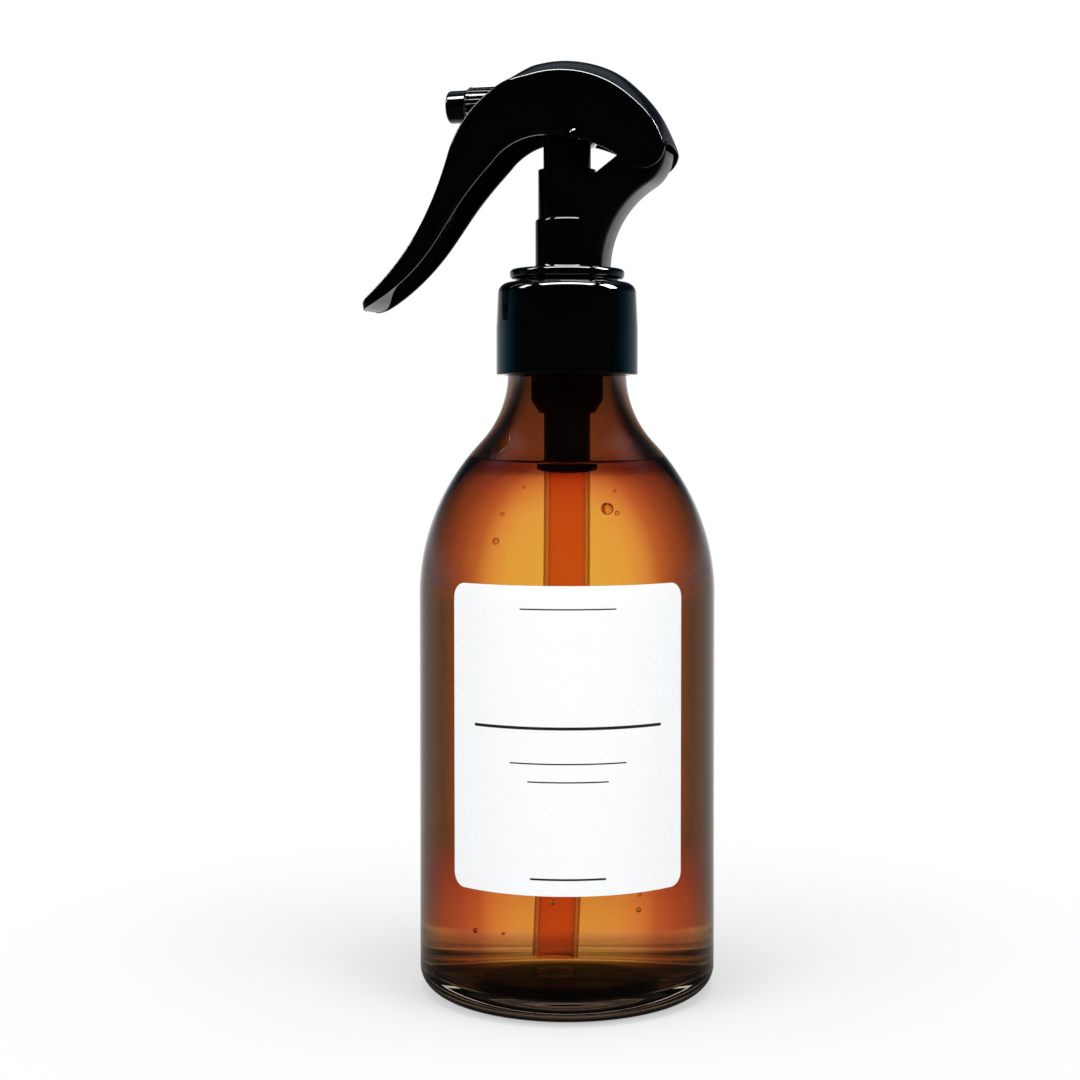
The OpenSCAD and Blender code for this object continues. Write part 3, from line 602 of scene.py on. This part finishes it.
def build_label():
    """Thin sheet with rounded corners, wrapped on the glass."""
    half_w = BODY_R * math.radians(LABEL["half_angle"])
    z0, z1, c = LABEL["z0"], LABEL["z1"], LABEL["corner"]
    corner = [c * (1 - math.cos(math.pi / 2 * i / 8)) for i in range(9)]
    rows = [z0 + d for d in corner] + [z0 + c + (z1 - z0 - 2 * c) * i / 40 for i in range(1, 40)]
    rows += [z1 - d for d in corner[::-1]]
    cols, glue = 90, 0.02

    def reach(z):
        d = max(z0 + c - z, z - (z1 - c), 0.0)
        return half_w - c + math.sqrt(max(0.0, c * c - d * d))

    def sheet(lift):
        out = []
        for z in rows:
            w = reach(z)
            for i in range(cols + 1):
                a = math.radians(LABEL["turn"]) + (w * (2 * i / cols - 1)) / BODY_R
                r = side_r(z) + lift
                out.append((r * math.cos(a), r * math.sin(a), z))
        return out

    n, w = len(rows), cols + 1
    off = n * w
    faces = []
    for i in range(n - 1):
        for j in range(cols):
            q = (i * w + j, i * w + j + 1, (i + 1) * w + j + 1, (i + 1) * w + j)
            faces += [q, tuple(off + v for v in q[::-1])]
    rim = list(range(w)) + [i * w + cols for i in range(1, n)]
    rim += [(n - 1) * w + j for j in range(cols - 1, -1, -1)] + [i * w for i in range(n - 2, 0, -1)]
    faces += [(a, off + a, off + b, b) for a, b in zip(rim, rim[1:] + rim[:1])]
    part = (sheet(glue + LABEL["thick"]) + sheet(glue), faces)
    make("label_sheet", part, PAPER, "bottle", ["front_label"], sharp=50)


def build_bubbles():
    """Air bubbles on the inside of the glass: angle from the front, positive to the left, height and radius."""
    front, inward = -75.0, 0.85
    spots = [(-19, 101.6, 1.25), (-23, 100.8, 0.5), (30, 100.5, 0.45), (31, 95.3, 0.7), (22, 105.7, 0.3),
             (-24, 105.0, 0.35), (5.5, 24.6, 0.5), (-29.5, 25.2, 0.4), (-29, 22.2, 0.5), (38.5, 17.3, 0.5),
             (25.5, 17.7, 0.35)]
    parts = []
    for turn, z, r in spots:
        ball = [(0.0, -r)] + arc((0, 0), r, -90, 90, 14)[1:-1] + [(0.0, r)]
        place = polar((0, 0), inner_radius(z) - r * inward, front - turn)
        parts.append(turned(revolve(ball, 24), Matrix.Translation((*place, z))))
    make("bubbles", joined(*parts), BUBBLE, "bottle", sharp=0)


build_bottle()
build_liquid()
build_label()
build_bubbles()


# ---------------------------------------------------------------- closure, pump body

def build_closure():
    """Smooth screw closure with a plain bore."""
    top_z, h, rim_r, top_r, bore, edge = 148.623, 19.4, 14.95, 14.6, 13.2, 2.3
    foot_z, panel_z, hole_r = top_z - h, 147.323, 11.15
    outline = [(bore, foot_z), (rim_r, foot_z), (rim_r, foot_z + 0.7), (rim_r, foot_z + h / 2)]
    outline += arc((top_r - edge, top_z - edge), edge, 0, 90, 16)
    outline += [(hole_r, top_z), (hole_r, panel_z), (bore, panel_z)]
    radii = [0.3, 0.35] + [0] * (len(outline) - 5) + [0.25, 0.25, 0.4]
    part = revolve(fillet(outline, radii, 5), 224)
    make("closure_shell", part, BLACK, "closure", ["closure_cap"], sharp=40)


def strut_back(z):
    """Back face of the strut: a hollow round above the flange, then a full round up to the hinge."""
    foot_x, r1, r2, ear_gap = 8.6, 19.8, 8.2, 0.45
    top_x = HINGE[0] + EAR_R - ear_gap - r2
    top_z = FLANGE_TOP + math.sqrt((r1 + r2) ** 2 - (foot_x + r1 - top_x) ** 2)
    join_z = FLANGE_TOP + (top_z - FLANGE_TOP) * r1 / (r1 + r2)
    if z < join_z:
        return foot_x + r1 - math.sqrt(max(0, r1 ** 2 - (z - FLANGE_TOP) ** 2))
    return top_x + math.sqrt(max(0.0, r2 ** 2 - (z - top_z) ** 2))


def strut_front(z):
    """Front face of the strut: first in the barrel, whose bore it fills behind it, then the edge of the window."""
    foot, head, r = BARREL_TOP_R + 0.9, HINGE[0] - HINGE_R - 1.6, 1.2
    if z < BARREL_TOP - 0.3:
        return 0.5
    if z <= BARREL_TOP:
        return foot - (BARREL_TOP - z) * 3
    corner = polar((foot, BARREL_TOP + r), r, 320)
    if z <= corner[1]:
        return foot + r * math.sqrt(max(0.0, 1 - (1 - (z - BARREL_TOP) / r) ** 2))
    t = (z - corner[1]) / (STRUT_TOP - corner[1])
    return corner[0] + (head - corner[0]) * t


def build_pump_body():
    """Flange and barrel, the strut behind them, and the knuckle of the hinge on top."""
    flange_z, r_flange, e = 149.323, 12.1, 0.8
    collar_r, seal_r, bore_r, barrel_r = 10.8, 12.8, 5.35, 6.7
    z0, z1 = 145.923, 147.223
    step, shoulder = 161.323, 163.723
    socket_r, socket_z = 5.75, 168.923
    outline = [(bore_r, z0), (seal_r, z0), (seal_r, z1), (collar_r, z1), (collar_r, flange_z)]
    outline += arc((r_flange - e, flange_z + e), e, 270, 360, 8) + arc((r_flange - e, FLANGE_TOP - e), e, 0, 90, 8)
    outline += [(barrel_r, FLANGE_TOP)] + arc((BARREL_TOP_R, step), barrel_r - BARREL_TOP_R, 0, 90, 9)
    outline += [(BARREL_TOP_R, shoulder), (BARREL_TOP_R, BARREL_TOP), (socket_r, BARREL_TOP),
                (socket_r, socket_z), (bore_r, socket_z)]
    radii = [0.1, 0.2, 0.2, 0.3, 0.2] + [0] * 18 + [0.9] + [0] * 12 + [0.1, 0.1, 0.1]
    barrel = revolve(fillet(outline, radii, 5), 160)
    half, levels, foot_z = HINGE_HALF_W, 120, FLANGE_TOP - 0.4
    rings = []
    for i in range(levels + 1):
        z = foot_z + (STRUT_TOP - foot_z) * i / levels
        xf, xb = strut_front(z), strut_back(z)
        back_edge, front_edge = min(1.8, (xb - xf) * 0.45), 0.35 if z > BARREL_TOP else 0.05
        flat = [(xf, -half), (xb, -half), (xb, half), (xf, half)]
        edges = [front_edge, back_edge, back_edge, front_edge]
        rings.append([(x, y, z) for x, y in fillet(flat, edges, 8)])
    r, bevel = HINGE_R, 0.35
    knuckle = [(0.0, -half), (r - bevel, -half), (r, -half + bevel), (r, half - bevel), (r - bevel, half), (0.0, half)]
    part = joined(barrel, loft(rings), across(revolve(knuckle, 64), *HINGE))
    make("pump_shell", part, BLACK, "sprayer", ["pump_body"], sharp=38)


def build_guide():
    """Ring on top of the barrel."""
    foot, end, top = BARREL_TOP - 1.9, BARREL_TOP, 172.223
    bore, plug_r, r = 5.05, 5.73, BARREL_TOP_R
    outline = [(bore, foot), (plug_r, foot), (plug_r, end), (r, end), (r, top), (bore, top)]
    part = revolve(fillet(outline, [0.1, 0.1, 0, 0, 0, 0.05], 5), 128)
    make("guide_collar", part, BLACK, "sprayer", ["stem_guide"], sharp=38)


def build_stem():
    """Hollow stem with a cup for the ball of the elbow, and its two pins."""
    seal_z, neck_z, top = 138.796, 153.423, 180.923
    cup_r, bore, foot_r, stem_r = 3.7, 1.5, 3.6, 5.0
    ball_up, ball_r, under_ball = 0.2, 3.35, 1.7
    cup_z = PIN[1] + ball_up - ball_r - under_ball
    outline = [(bore, seal_z), (foot_r, seal_z), (foot_r, neck_z), (stem_r, neck_z + 1), (stem_r, top), (cup_r, top),
               (cup_r, cup_z), (bore, cup_z)]
    stem = revolve(fillet(outline, [0.1, 0.2, 0.2, 0.2, 0.5, 0.25, 0.3, 0.1], 5), 96)
    pins = []
    for side in (-1, 1):
        inside, outside, r, e = 3.35, 7.3, 1.15, 0.22
        c = [(0.0, inside), (r, inside), (r, outside - e), (r - 0.3 * e, outside - 0.3 * e), (r - e, outside),
             (r * 0.55, outside + 0.22), (r * 0.25, outside + 0.3), (0.0, outside + 0.32)]
        pins.append(across(revolve([(a, side * b) for a, b in c], 40), *PIN))
    make("stem_shell", joined(stem, *pins), BLACK, "piston", ["piston_stem"], sharp=38)


# ---------------------------------------------------------------- lever

DOME_C = (-0.65, HINGE[1] - 7.6)
DOME_R = 24.6
DOME_END, DOME_REAR = 163.0, 19.5
FINGER_R, FINGER_A = 67.0, 32.0
FINGER_C = polar(DOME_C, DOME_R + FINGER_R, DOME_END)
ARCH_R, ARCH_A = 14.0, 142.0
ARCH_C = (-3.5, HINGE[1] + 2.9 - ARCH_R)
EAR_R, EAR_IN, EAR_OUT = 4.75, 226.0, 352.0
LEVER_W, TRIGGER_W, CHEEK, WEB, CROWN = 15.0, 13.0, 1.05, 1.3, 3.0
TIP_LOW = polar(FINGER_C, FINGER_R + 1.3, DOME_END + 180 - FINGER_A - 0.6)
ARCH_SHARE, BRIDGE_SHARE = 0.24, 0.7


def half_width(s):
    """Half the trigger's width from its rounded tip, at 0, to the head, at 1."""
    tip, mid, head = LEVER_W * 0.47, TRIGGER_W / 2, LEVER_W / 2
    side = tip + (mid - tip) * smooth(s / 0.4) if s < 0.4 else mid + (head - mid) * smooth((s - 0.4) / 0.6)
    corner = min(1.0, s / 0.07)
    return side - 3.2 * (1 - math.sqrt(1 - (1 - corner) ** 2))


def crown(a):
    """Height of the roof's cross curve, by the angle round the dome."""
    if a > 98:
        return 1.1 * CROWN * smooth((127 - a) / 28)
    return CROWN * (1.13 * (0.6 + 0.4 * smooth((a - 14) / 50)) * smooth((a - 11) / 18) - 0.03 * smooth((a - 84) / 14))


def roof_r(a):
    """The roof's side edges lie a little under the round of the arch."""
    return DOME_R - 0.8 * smooth((120 - a) / 18) * (0.35 + 0.65 * smooth((a - 28) / 22))


def lever_section(top, low, half, rise, open_):
    """Ring across the lever: two cheeks under a web that rises in the middle; open_ is 0 solid to 1 hollow."""
    top, low = Vector(top), Vector(low)
    depth = (top - low).length
    e = (top - low) / depth
    hollow = max(0.1, (depth - min(WEB, depth * 0.55)) * open_)
    inside, flat = half - CHEEK, half - 1.2
    roof, crown_n = 8, 24
    foot_round, roof_round, edge_round = min(0.45, CHEEK * 0.42), 0.7, min(0.9, depth * 0.3)
    pts = [(-half, 0), (-inside, 0)]
    rad = [foot_round] * 2
    for k in range(roof + 1):
        y = inside * (2 * k / roof - 1)
        pts.append((y, hollow + rise * (1 - (y / inside) ** 2)))
        rad.append(roof_round if k in (0, roof) else 0)
    pts += [(inside, 0), (half, 0)]
    rad += [foot_round] * 2
    for k in range(crown_n + 1):
        y = half * (1 - 2 * k / crown_n)
        if k not in (0, crown_n) and abs(y) > flat:
            y = math.copysign(flat + 0.02 * (4 - min(k, crown_n - k)), y)
        pts.append((y, depth + rise * (1 - (y / half) ** 2)))
        rad.append(edge_round if k in (0, crown_n) else 0)
    out = fillet(pts, rad, 5)
    return [(low[0] + d * e[0], y, low[1] + d * e[1]) for y, d in out]


def build_lever():
    """Head and trigger, one hollow moulding from the tip round the arch to the ear, with its webs and hinge pins."""
    arch_foot, arch_top = polar(ARCH_C, ARCH_R, ARCH_A), polar(ARCH_C, ARCH_R, 90)
    ear_in = polar(HINGE, EAR_R, EAR_IN)

    def trigger_low(t):
        x, z = cubic(TIP_LOW, polar(TIP_LOW, 10, 25), polar(arch_foot, 16, ARCH_A + 90), arch_foot, t)
        return x + 0.75 * math.sin(2 * math.pi * t ** 1.45), z

    def bridge_low(t):
        return cubic(arch_top, polar(arch_top, 7, 0), polar(ear_in, 5, EAR_IN - 90), ear_in, t)

    def head(u, low):
        a = DOME_END + (DOME_REAR - DOME_END) * u
        return lever_section(polar(DOME_C, roof_r(a), a), low, LEVER_W / 2, crown(a), 1)

    rings = []
    steps = 90
    for i in range(steps + 1):
        k = i / steps
        t = k * (0.3 + 0.7 * k)
        top = polar(FINGER_C, FINGER_R, DOME_END + 180 - FINGER_A * (1 - t))
        rings.append(lever_section(top, trigger_low(t), half_width(t), 0, smooth(t / 0.16)))
    for i in range(1, 37):
        rings.append(head(ARCH_SHARE * i / 36, polar(ARCH_C, ARCH_R, ARCH_A + (90 - ARCH_A) * i / 36)))
    for i in range(1, 49):
        rings.append(head(ARCH_SHARE + (BRIDGE_SHARE - ARCH_SHARE) * i / 48, bridge_low(i / 48)))
    for i in range(1, 37):
        rings.append(head(BRIDGE_SHARE + (1 - BRIDGE_SHARE) * i / 36,
                          polar(HINGE, EAR_R, EAR_IN + (EAR_OUT - EAR_IN) * i / 36)))
    lever = add_mesh("lever_hood", *loft(rings))
    # Seats of the stem's pins, and the way of the elbow through the front of the head
    cut(lever, across(revolve([(0, -9), (1.414, -9), (1.414, 9), (0, 9)], 48), PIN[0] + 0.1436, PIN[1]))
    cut(lever, turned(revolve([(0, -30), (4.45, -30), (4.45, -8.5), (0, -8.5)], 64),
                      Matrix.Translation((0, 0, NOZZLE_Z)) @ ALONG_X))
    extras = []
    for x in (-8.5, 1.5):
        half, t = LEVER_W / 2 - CHEEK / 2, 1.2
        top = DOME_C[1] + math.sqrt((DOME_R - WEB / 2) ** 2 - (x - DOME_C[0]) ** 2)
        seat = [polar((0, NOZZLE_Z), 2.82, a) for a in range(-12, 193, 8)]
        outline = [(-half, NOZZLE_Z - 0.6), (-half, top), (half, top), (half, NOZZLE_Z - 0.6)] + seat
        extras.append(loft([[(x - t / 2, y, z) for y, z in outline], [(x + t / 2, y, z) for y, z in outline]]))
    inside = LEVER_W / 2 - CHEEK
    face = HINGE_HALF_W + 0.35
    end, boss_r, pin_r, bevel = face - 2.45, 2.7, 1.5, 0.15
    for side in (-1, 1):
        c = [(0.0, inside + 0.2), (boss_r, inside + 0.2), (boss_r, face + bevel), (boss_r - bevel, face),
             (pin_r, face), (pin_r, end + bevel), (pin_r - bevel, end), (0.0, end)]
        extras.append(across(revolve([(a, side * b) for a, b in c], 48), *HINGE))
    small = add_mesh("lever_extras", *joined(*extras))
    with bpy.context.temp_override(active_object=lever, object=lever, selected_objects=[lever, small],
                                   selected_editable_objects=[lever, small]):
        bpy.ops.object.join()
    finish_piece(lever, BLACK, "trigger", ["trigger_lever"], sharp=42)


build_closure()
build_pump_body()
build_guide()
build_stem()
build_lever()


# ---------------------------------------------------------------- nozzle

def build_nozzle():
    """Nozzle cap: the orifice and a plain tip, then a ribbed grip with the bore behind it."""
    front, step, back = -26.0, -21.4, -13.4
    ribs, per_rib, rib_r, depth = 26, 12, 4.1, 0.3
    orifice_r, tip_r, tip_round, bore_r = 1.0, 3.45, 0.6, 2.76
    foot_r, total = rib_r - depth, ribs * per_rib

    def ring(x, r_out, r_in=None):
        """Ring at x; its radius swells from r_in to r_out on each rib."""
        low = r_out if r_in is None else r_in
        out = []
        for i in range(total):
            u = (i % per_rib) / per_rib
            f = smooth(min(1.0, 5 * u)) * smooth(min(1.0, 5 * (0.55 - u))) if u < 0.55 else 0.0
            out.append((x, *polar((0, NOZZLE_Z), low + (r_out - low) * f, 360 * i / total)))
        return out

    rings = [ring(front + 1.5, orifice_r), ring(front + 0.25, orifice_r), ring(front + 0.12, orifice_r + 0.06),
             ring(front, orifice_r + 0.25)]
    for a in range(0, 91, 15):
        x, r = polar((tip_round, tip_r - tip_round), tip_round, 180 - a)
        rings.append(ring(front + x, r))
    rings += [ring(step - 0.5, tip_r), ring(step - 0.44, 3.5), ring(step - 0.1, 3.74), ring(step, foot_r),
              ring(step + 0.05, 3.9, foot_r)]
    rings += [ring(step + 0.35 + (back - step - 0.6) * i / 10, rib_r, foot_r) for i in range(11)]
    rings += [ring(back - 0.08, rib_r - 0.1, foot_r - 0.08), ring(back, rib_r - 0.25, foot_r - 0.2),
              ring(back, bore_r + 0.19), ring(back - 0.2, bore_r), ring(front + 2.6, bore_r)]
    make("nozzle_shell", loft(rings), BLACK, "nozzle", ["nozzle_cap"], sharp=38)


build_nozzle()

# ---------------------------------------------------------------- finishes of the frame's own nodes

FINISH = {
    "neck_gasket": WHITE_SEAL, "piston_seal": WHITE_SEAL, "outlet_valve": WHITE_SEAL, "valve_housing": NATURAL,
    "ball_stop": NATURAL, "swirl_core": NATURAL, "inlet_ball": BALL, "return_spring": WIRE,
    "discharge_elbow": BLACK, "orifice_disc": BLACK, "nozzle_seal": BLACK_SEAL, "dip_tube": TUBE,
}
for name, material in FINISH.items():
    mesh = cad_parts[name].data
    mesh.materials.clear()
    mesh.materials.append(material)
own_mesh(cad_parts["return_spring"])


# ---------------------------------------------------------------- studio

# Brightness by the angle from straight behind the object, as half of 1 + cosine: of the backdrop, and of the floor
BACKDROP = [(0.0, (0.008, 0.008, 0.009)), (0.42, (0.008, 0.01, 0.012)), (0.52, (0.01, 0.045, 0.075)),
            (0.6, (0.012, 0.13, 0.19)), (0.7, (0.06, 0.22, 0.32)), (0.78, (0.22, 0.31, 0.4)),
            (0.85, (0.33, 0.38, 0.45)), (0.925, (0.45, 0.48, 0.5)), (0.955, (0.65, 0.65, 0.65)),
            (0.982, (0.9, 0.9, 0.9)), (0.994, WHITE)]
FLOOR_SEEN = [(0.0, (0.03, 0.03, 0.03)), (0.45, (0.06, 0.055, 0.05)), (0.7, (0.28, 0.25, 0.22)),
              (0.85, (0.42, 0.4, 0.38)), (0.925, (0.55, 0.54, 0.52)), (0.955, (0.7, 0.7, 0.7)),
              (0.982, (0.9, 0.9, 0.9)), (0.994, WHITE)]


def behind(tree, direction):
    """Cosine of the angle from straight behind the object."""
    return vector(tree, "DOT_PRODUCT", direction, BACK)


def brightness(tree, direction, stops):
    return coloured(tree, mapped(tree, behind(tree, direction), -1.0, 1.0, kind="LINEAR"), stops)


def mixed_shader(tree, factor, a, b):
    n = tree.nodes.new("ShaderNodeMixShader")
    for socket, value in zip(n.inputs, (factor, a, b)):
        tree.links.new(value, socket)
    return n.outputs[0]


def shown(tree, plain, studio, white, camera_share=None):
    """plain to rough surfaces, studio to glossy and clear ones, and white to camera rays."""
    path = tree.nodes.new("ShaderNodeLightPath")
    glassy = maths(tree, "MAXIMUM", path.outputs["Is Glossy Ray"], path.outputs["Is Transmission Ray"])
    by_camera = path.outputs["Is Camera Ray"]
    if camera_share:
        by_camera = maths(tree, "MULTIPLY", camera_share, by_camera)
    return mixed_shader(tree, by_camera, mixed_shader(tree, glassy, plain.outputs[0], studio.outputs[0]),
                        white.outputs[0])


def studio_world():
    """Backdrop and ceiling, which only glossy and clear surfaces see."""
    world = bpy.data.worlds.new("studio")
    bpy.context.scene.world = world
    world.use_nodes = True
    tree = world.node_tree
    tree.nodes.clear()
    out = tree.nodes.new("ShaderNodeOutputWorld")
    direction = tree.nodes.new("ShaderNodeTexCoord").outputs["Generated"]
    split = tree.nodes.new("ShaderNodeSeparateXYZ")
    tree.links.new(direction, split.inputs[0])
    height = split.outputs["Z"]
    fade = coloured(tree, height, [(0.0, WHITE), (0.06, WHITE), (0.16, (0.3, 0.3, 0.32)),
                                   (0.3, (0.04, 0.04, 0.05)), (1.0, (0.03, 0.03, 0.04))])
    backdrop = mixed(tree, 1.0, brightness(tree, direction, BACKDROP), fade, "MULTIPLY")
    above = coloured(tree, height, [(0.0, NONE), (0.58, (0.008, 0.018, 0.025)), (0.7, (0.15, 0.18, 0.21)),
                                    (0.78, (0.25, 0.29, 0.34)), (1.0, (0.26, 0.3, 0.35))])
    rear = coloured(tree, behind(tree, direction), [(0.0, (0.04, 0.04, 0.04)), (0.3, WHITE)])
    ceiling = mixed(tree, 1.0, above, rear, "MULTIPLY")
    plain = node(tree, "ShaderNodeBackground", in_Color=(0.95, 0.97, 1.0, 1), in_Strength=0.55)
    studio = tree.nodes.new("ShaderNodeBackground")
    tree.links.new(mixed(tree, 1.0, backdrop, ceiling, "ADD"), studio.inputs["Color"])
    white = node(tree, "ShaderNodeBackground", in_Color=(1, 1, 1, 1), in_Strength=1.0)
    tree.links.new(shown(tree, plain, studio, white), out.inputs[0])


def studio_floor():
    """White floor that keeps the shadow close to the object; in reflections and through glass it glows, with a painted
    shadow close under the object.
    """
    size = 3.0
    mesh = bpy.data.meshes.new("floor")
    mesh.from_pydata([(-size, -size, 0), (size, -size, 0), (size, size, 0), (-size, size, 0)], [], [(0, 1, 2, 3)])
    floor = bpy.data.objects.new("floor", mesh)
    bpy.context.scene.collection.objects.link(floor)
    mat = bpy.data.materials.new("floor_white")
    mat.use_nodes = True
    tree = mat.node_tree
    tree.nodes.clear()
    out = tree.nodes.new("ShaderNodeOutputMaterial")
    place = tree.nodes.new("ShaderNodeTexCoord").outputs["Object"]
    far = vector(tree, "LENGTH", place)
    plain = node(tree, "ShaderNodeBsdfDiffuse", in_Color=(0.9, 0.9, 0.9, 1))
    studio = tree.nodes.new("ShaderNodeEmission")
    tree.links.new(brightness(tree, vector(tree, "NORMALIZE", place), FLOOR_SEEN), studio.inputs["Color"])
    # Painted shadow: seen in reflections and through glass, the floor glows only a tenth as bright close under the
    # object
    tree.links.new(mapped(tree, far, 0.014, 0.024, 0.1, 1.0), studio.inputs["Strength"])
    white = node(tree, "ShaderNodeEmission", in_Color=(1, 1, 1, 1), in_Strength=1.0)
    tree.links.new(shown(tree, plain, studio, white, mapped(tree, far, 0.03, 0.16, 0.45, 1.0)), out.inputs[0])
    mesh.materials.append(mat)


def around(az, dist, z):
    """A place in metres at an azimuth from the camera's side, seen from above, turning to the right."""
    a = math.radians(VIEW_AZ + az)
    return (math.sin(a) * dist, -math.cos(a) * dist, z)


def area(name, place, target, size, power, wide=RIGHT):
    """A softbox; wide is the direction that its width runs in."""
    light = bpy.data.lights.new(name, "AREA")
    light.shape = "RECTANGLE"
    light.size, light.size_y = size
    light.energy = power
    light_obj = bpy.data.objects.new(name, light)
    bpy.context.scene.collection.objects.link(light_obj)
    away = (Vector(place) - Vector(target)).normalized()
    wide = Vector(wide)
    wide = (wide - away * wide.dot(away)).normalized()
    axes = Matrix((wide, away.cross(wide), away)).transposed().to_4x4()
    light_obj.matrix_world = Matrix.Translation(place) @ axes
    light_obj.visible_transmission = False
    return light_obj


def lamps():
    """Three plain softboxes, and three that show only as streaks on the black mouldings."""
    head, middle = (0, 0, 0.17), (0, 0, 0.1)
    for light in (area("key_top", around(10, 0.10, 0.95), head, (0.40, 0.20), 2.2),
                  area("front_left", around(-50, 0.75, 0.40), middle, (0.5, 0.6), 2.6),
                  area("front_right", around(50, 0.75, 0.40), middle, (0.5, 0.6), 2.6)):
        light.visible_glossy = False
    moulded = bpy.data.collections.new("moulded_parts")
    for name in ("closure_shell", "pump_shell", "guide_collar", "stem_shell", "lever_hood", "nozzle_shell"):
        moulded.objects.link(bpy.data.objects[name])
    for light in (area("strip_over", around(0, 0.30, 0.95), head, (1.1, 0.26), 34.0),
                  area("strip_right", around(85, 0.80, 0.70), head, (0.3, 0.5), 30.0, BACK),
                  area("strip_left", around(-85, 0.80, 0.70), head, (0.2, 0.4), 5.0, BACK)):
        light.visible_diffuse = False
        light.light_linking.receiver_collection = moulded


def camera():
    """Camera fitted to the photo."""
    cam = bpy.data.cameras.new("camera")
    obj = bpy.data.objects.new("camera", cam)
    bpy.context.scene.collection.objects.link(obj)
    obj.location = around(0, DIST, EYE_Z)
    obj.rotation_euler = (math.radians(90 - PITCH), 0, math.radians(VIEW_AZ))
    cam.lens, cam.sensor_width = 62.06, 36.0
    cam.shift_x, cam.shift_y = -0.0251, -0.055
    cam.clip_start, cam.clip_end = 0.01, 20.0
    bpy.context.scene.camera = obj


studio_world()
studio_floor()
lamps()
camera()
bpy.context.scene.view_settings.view_transform = "Standard"
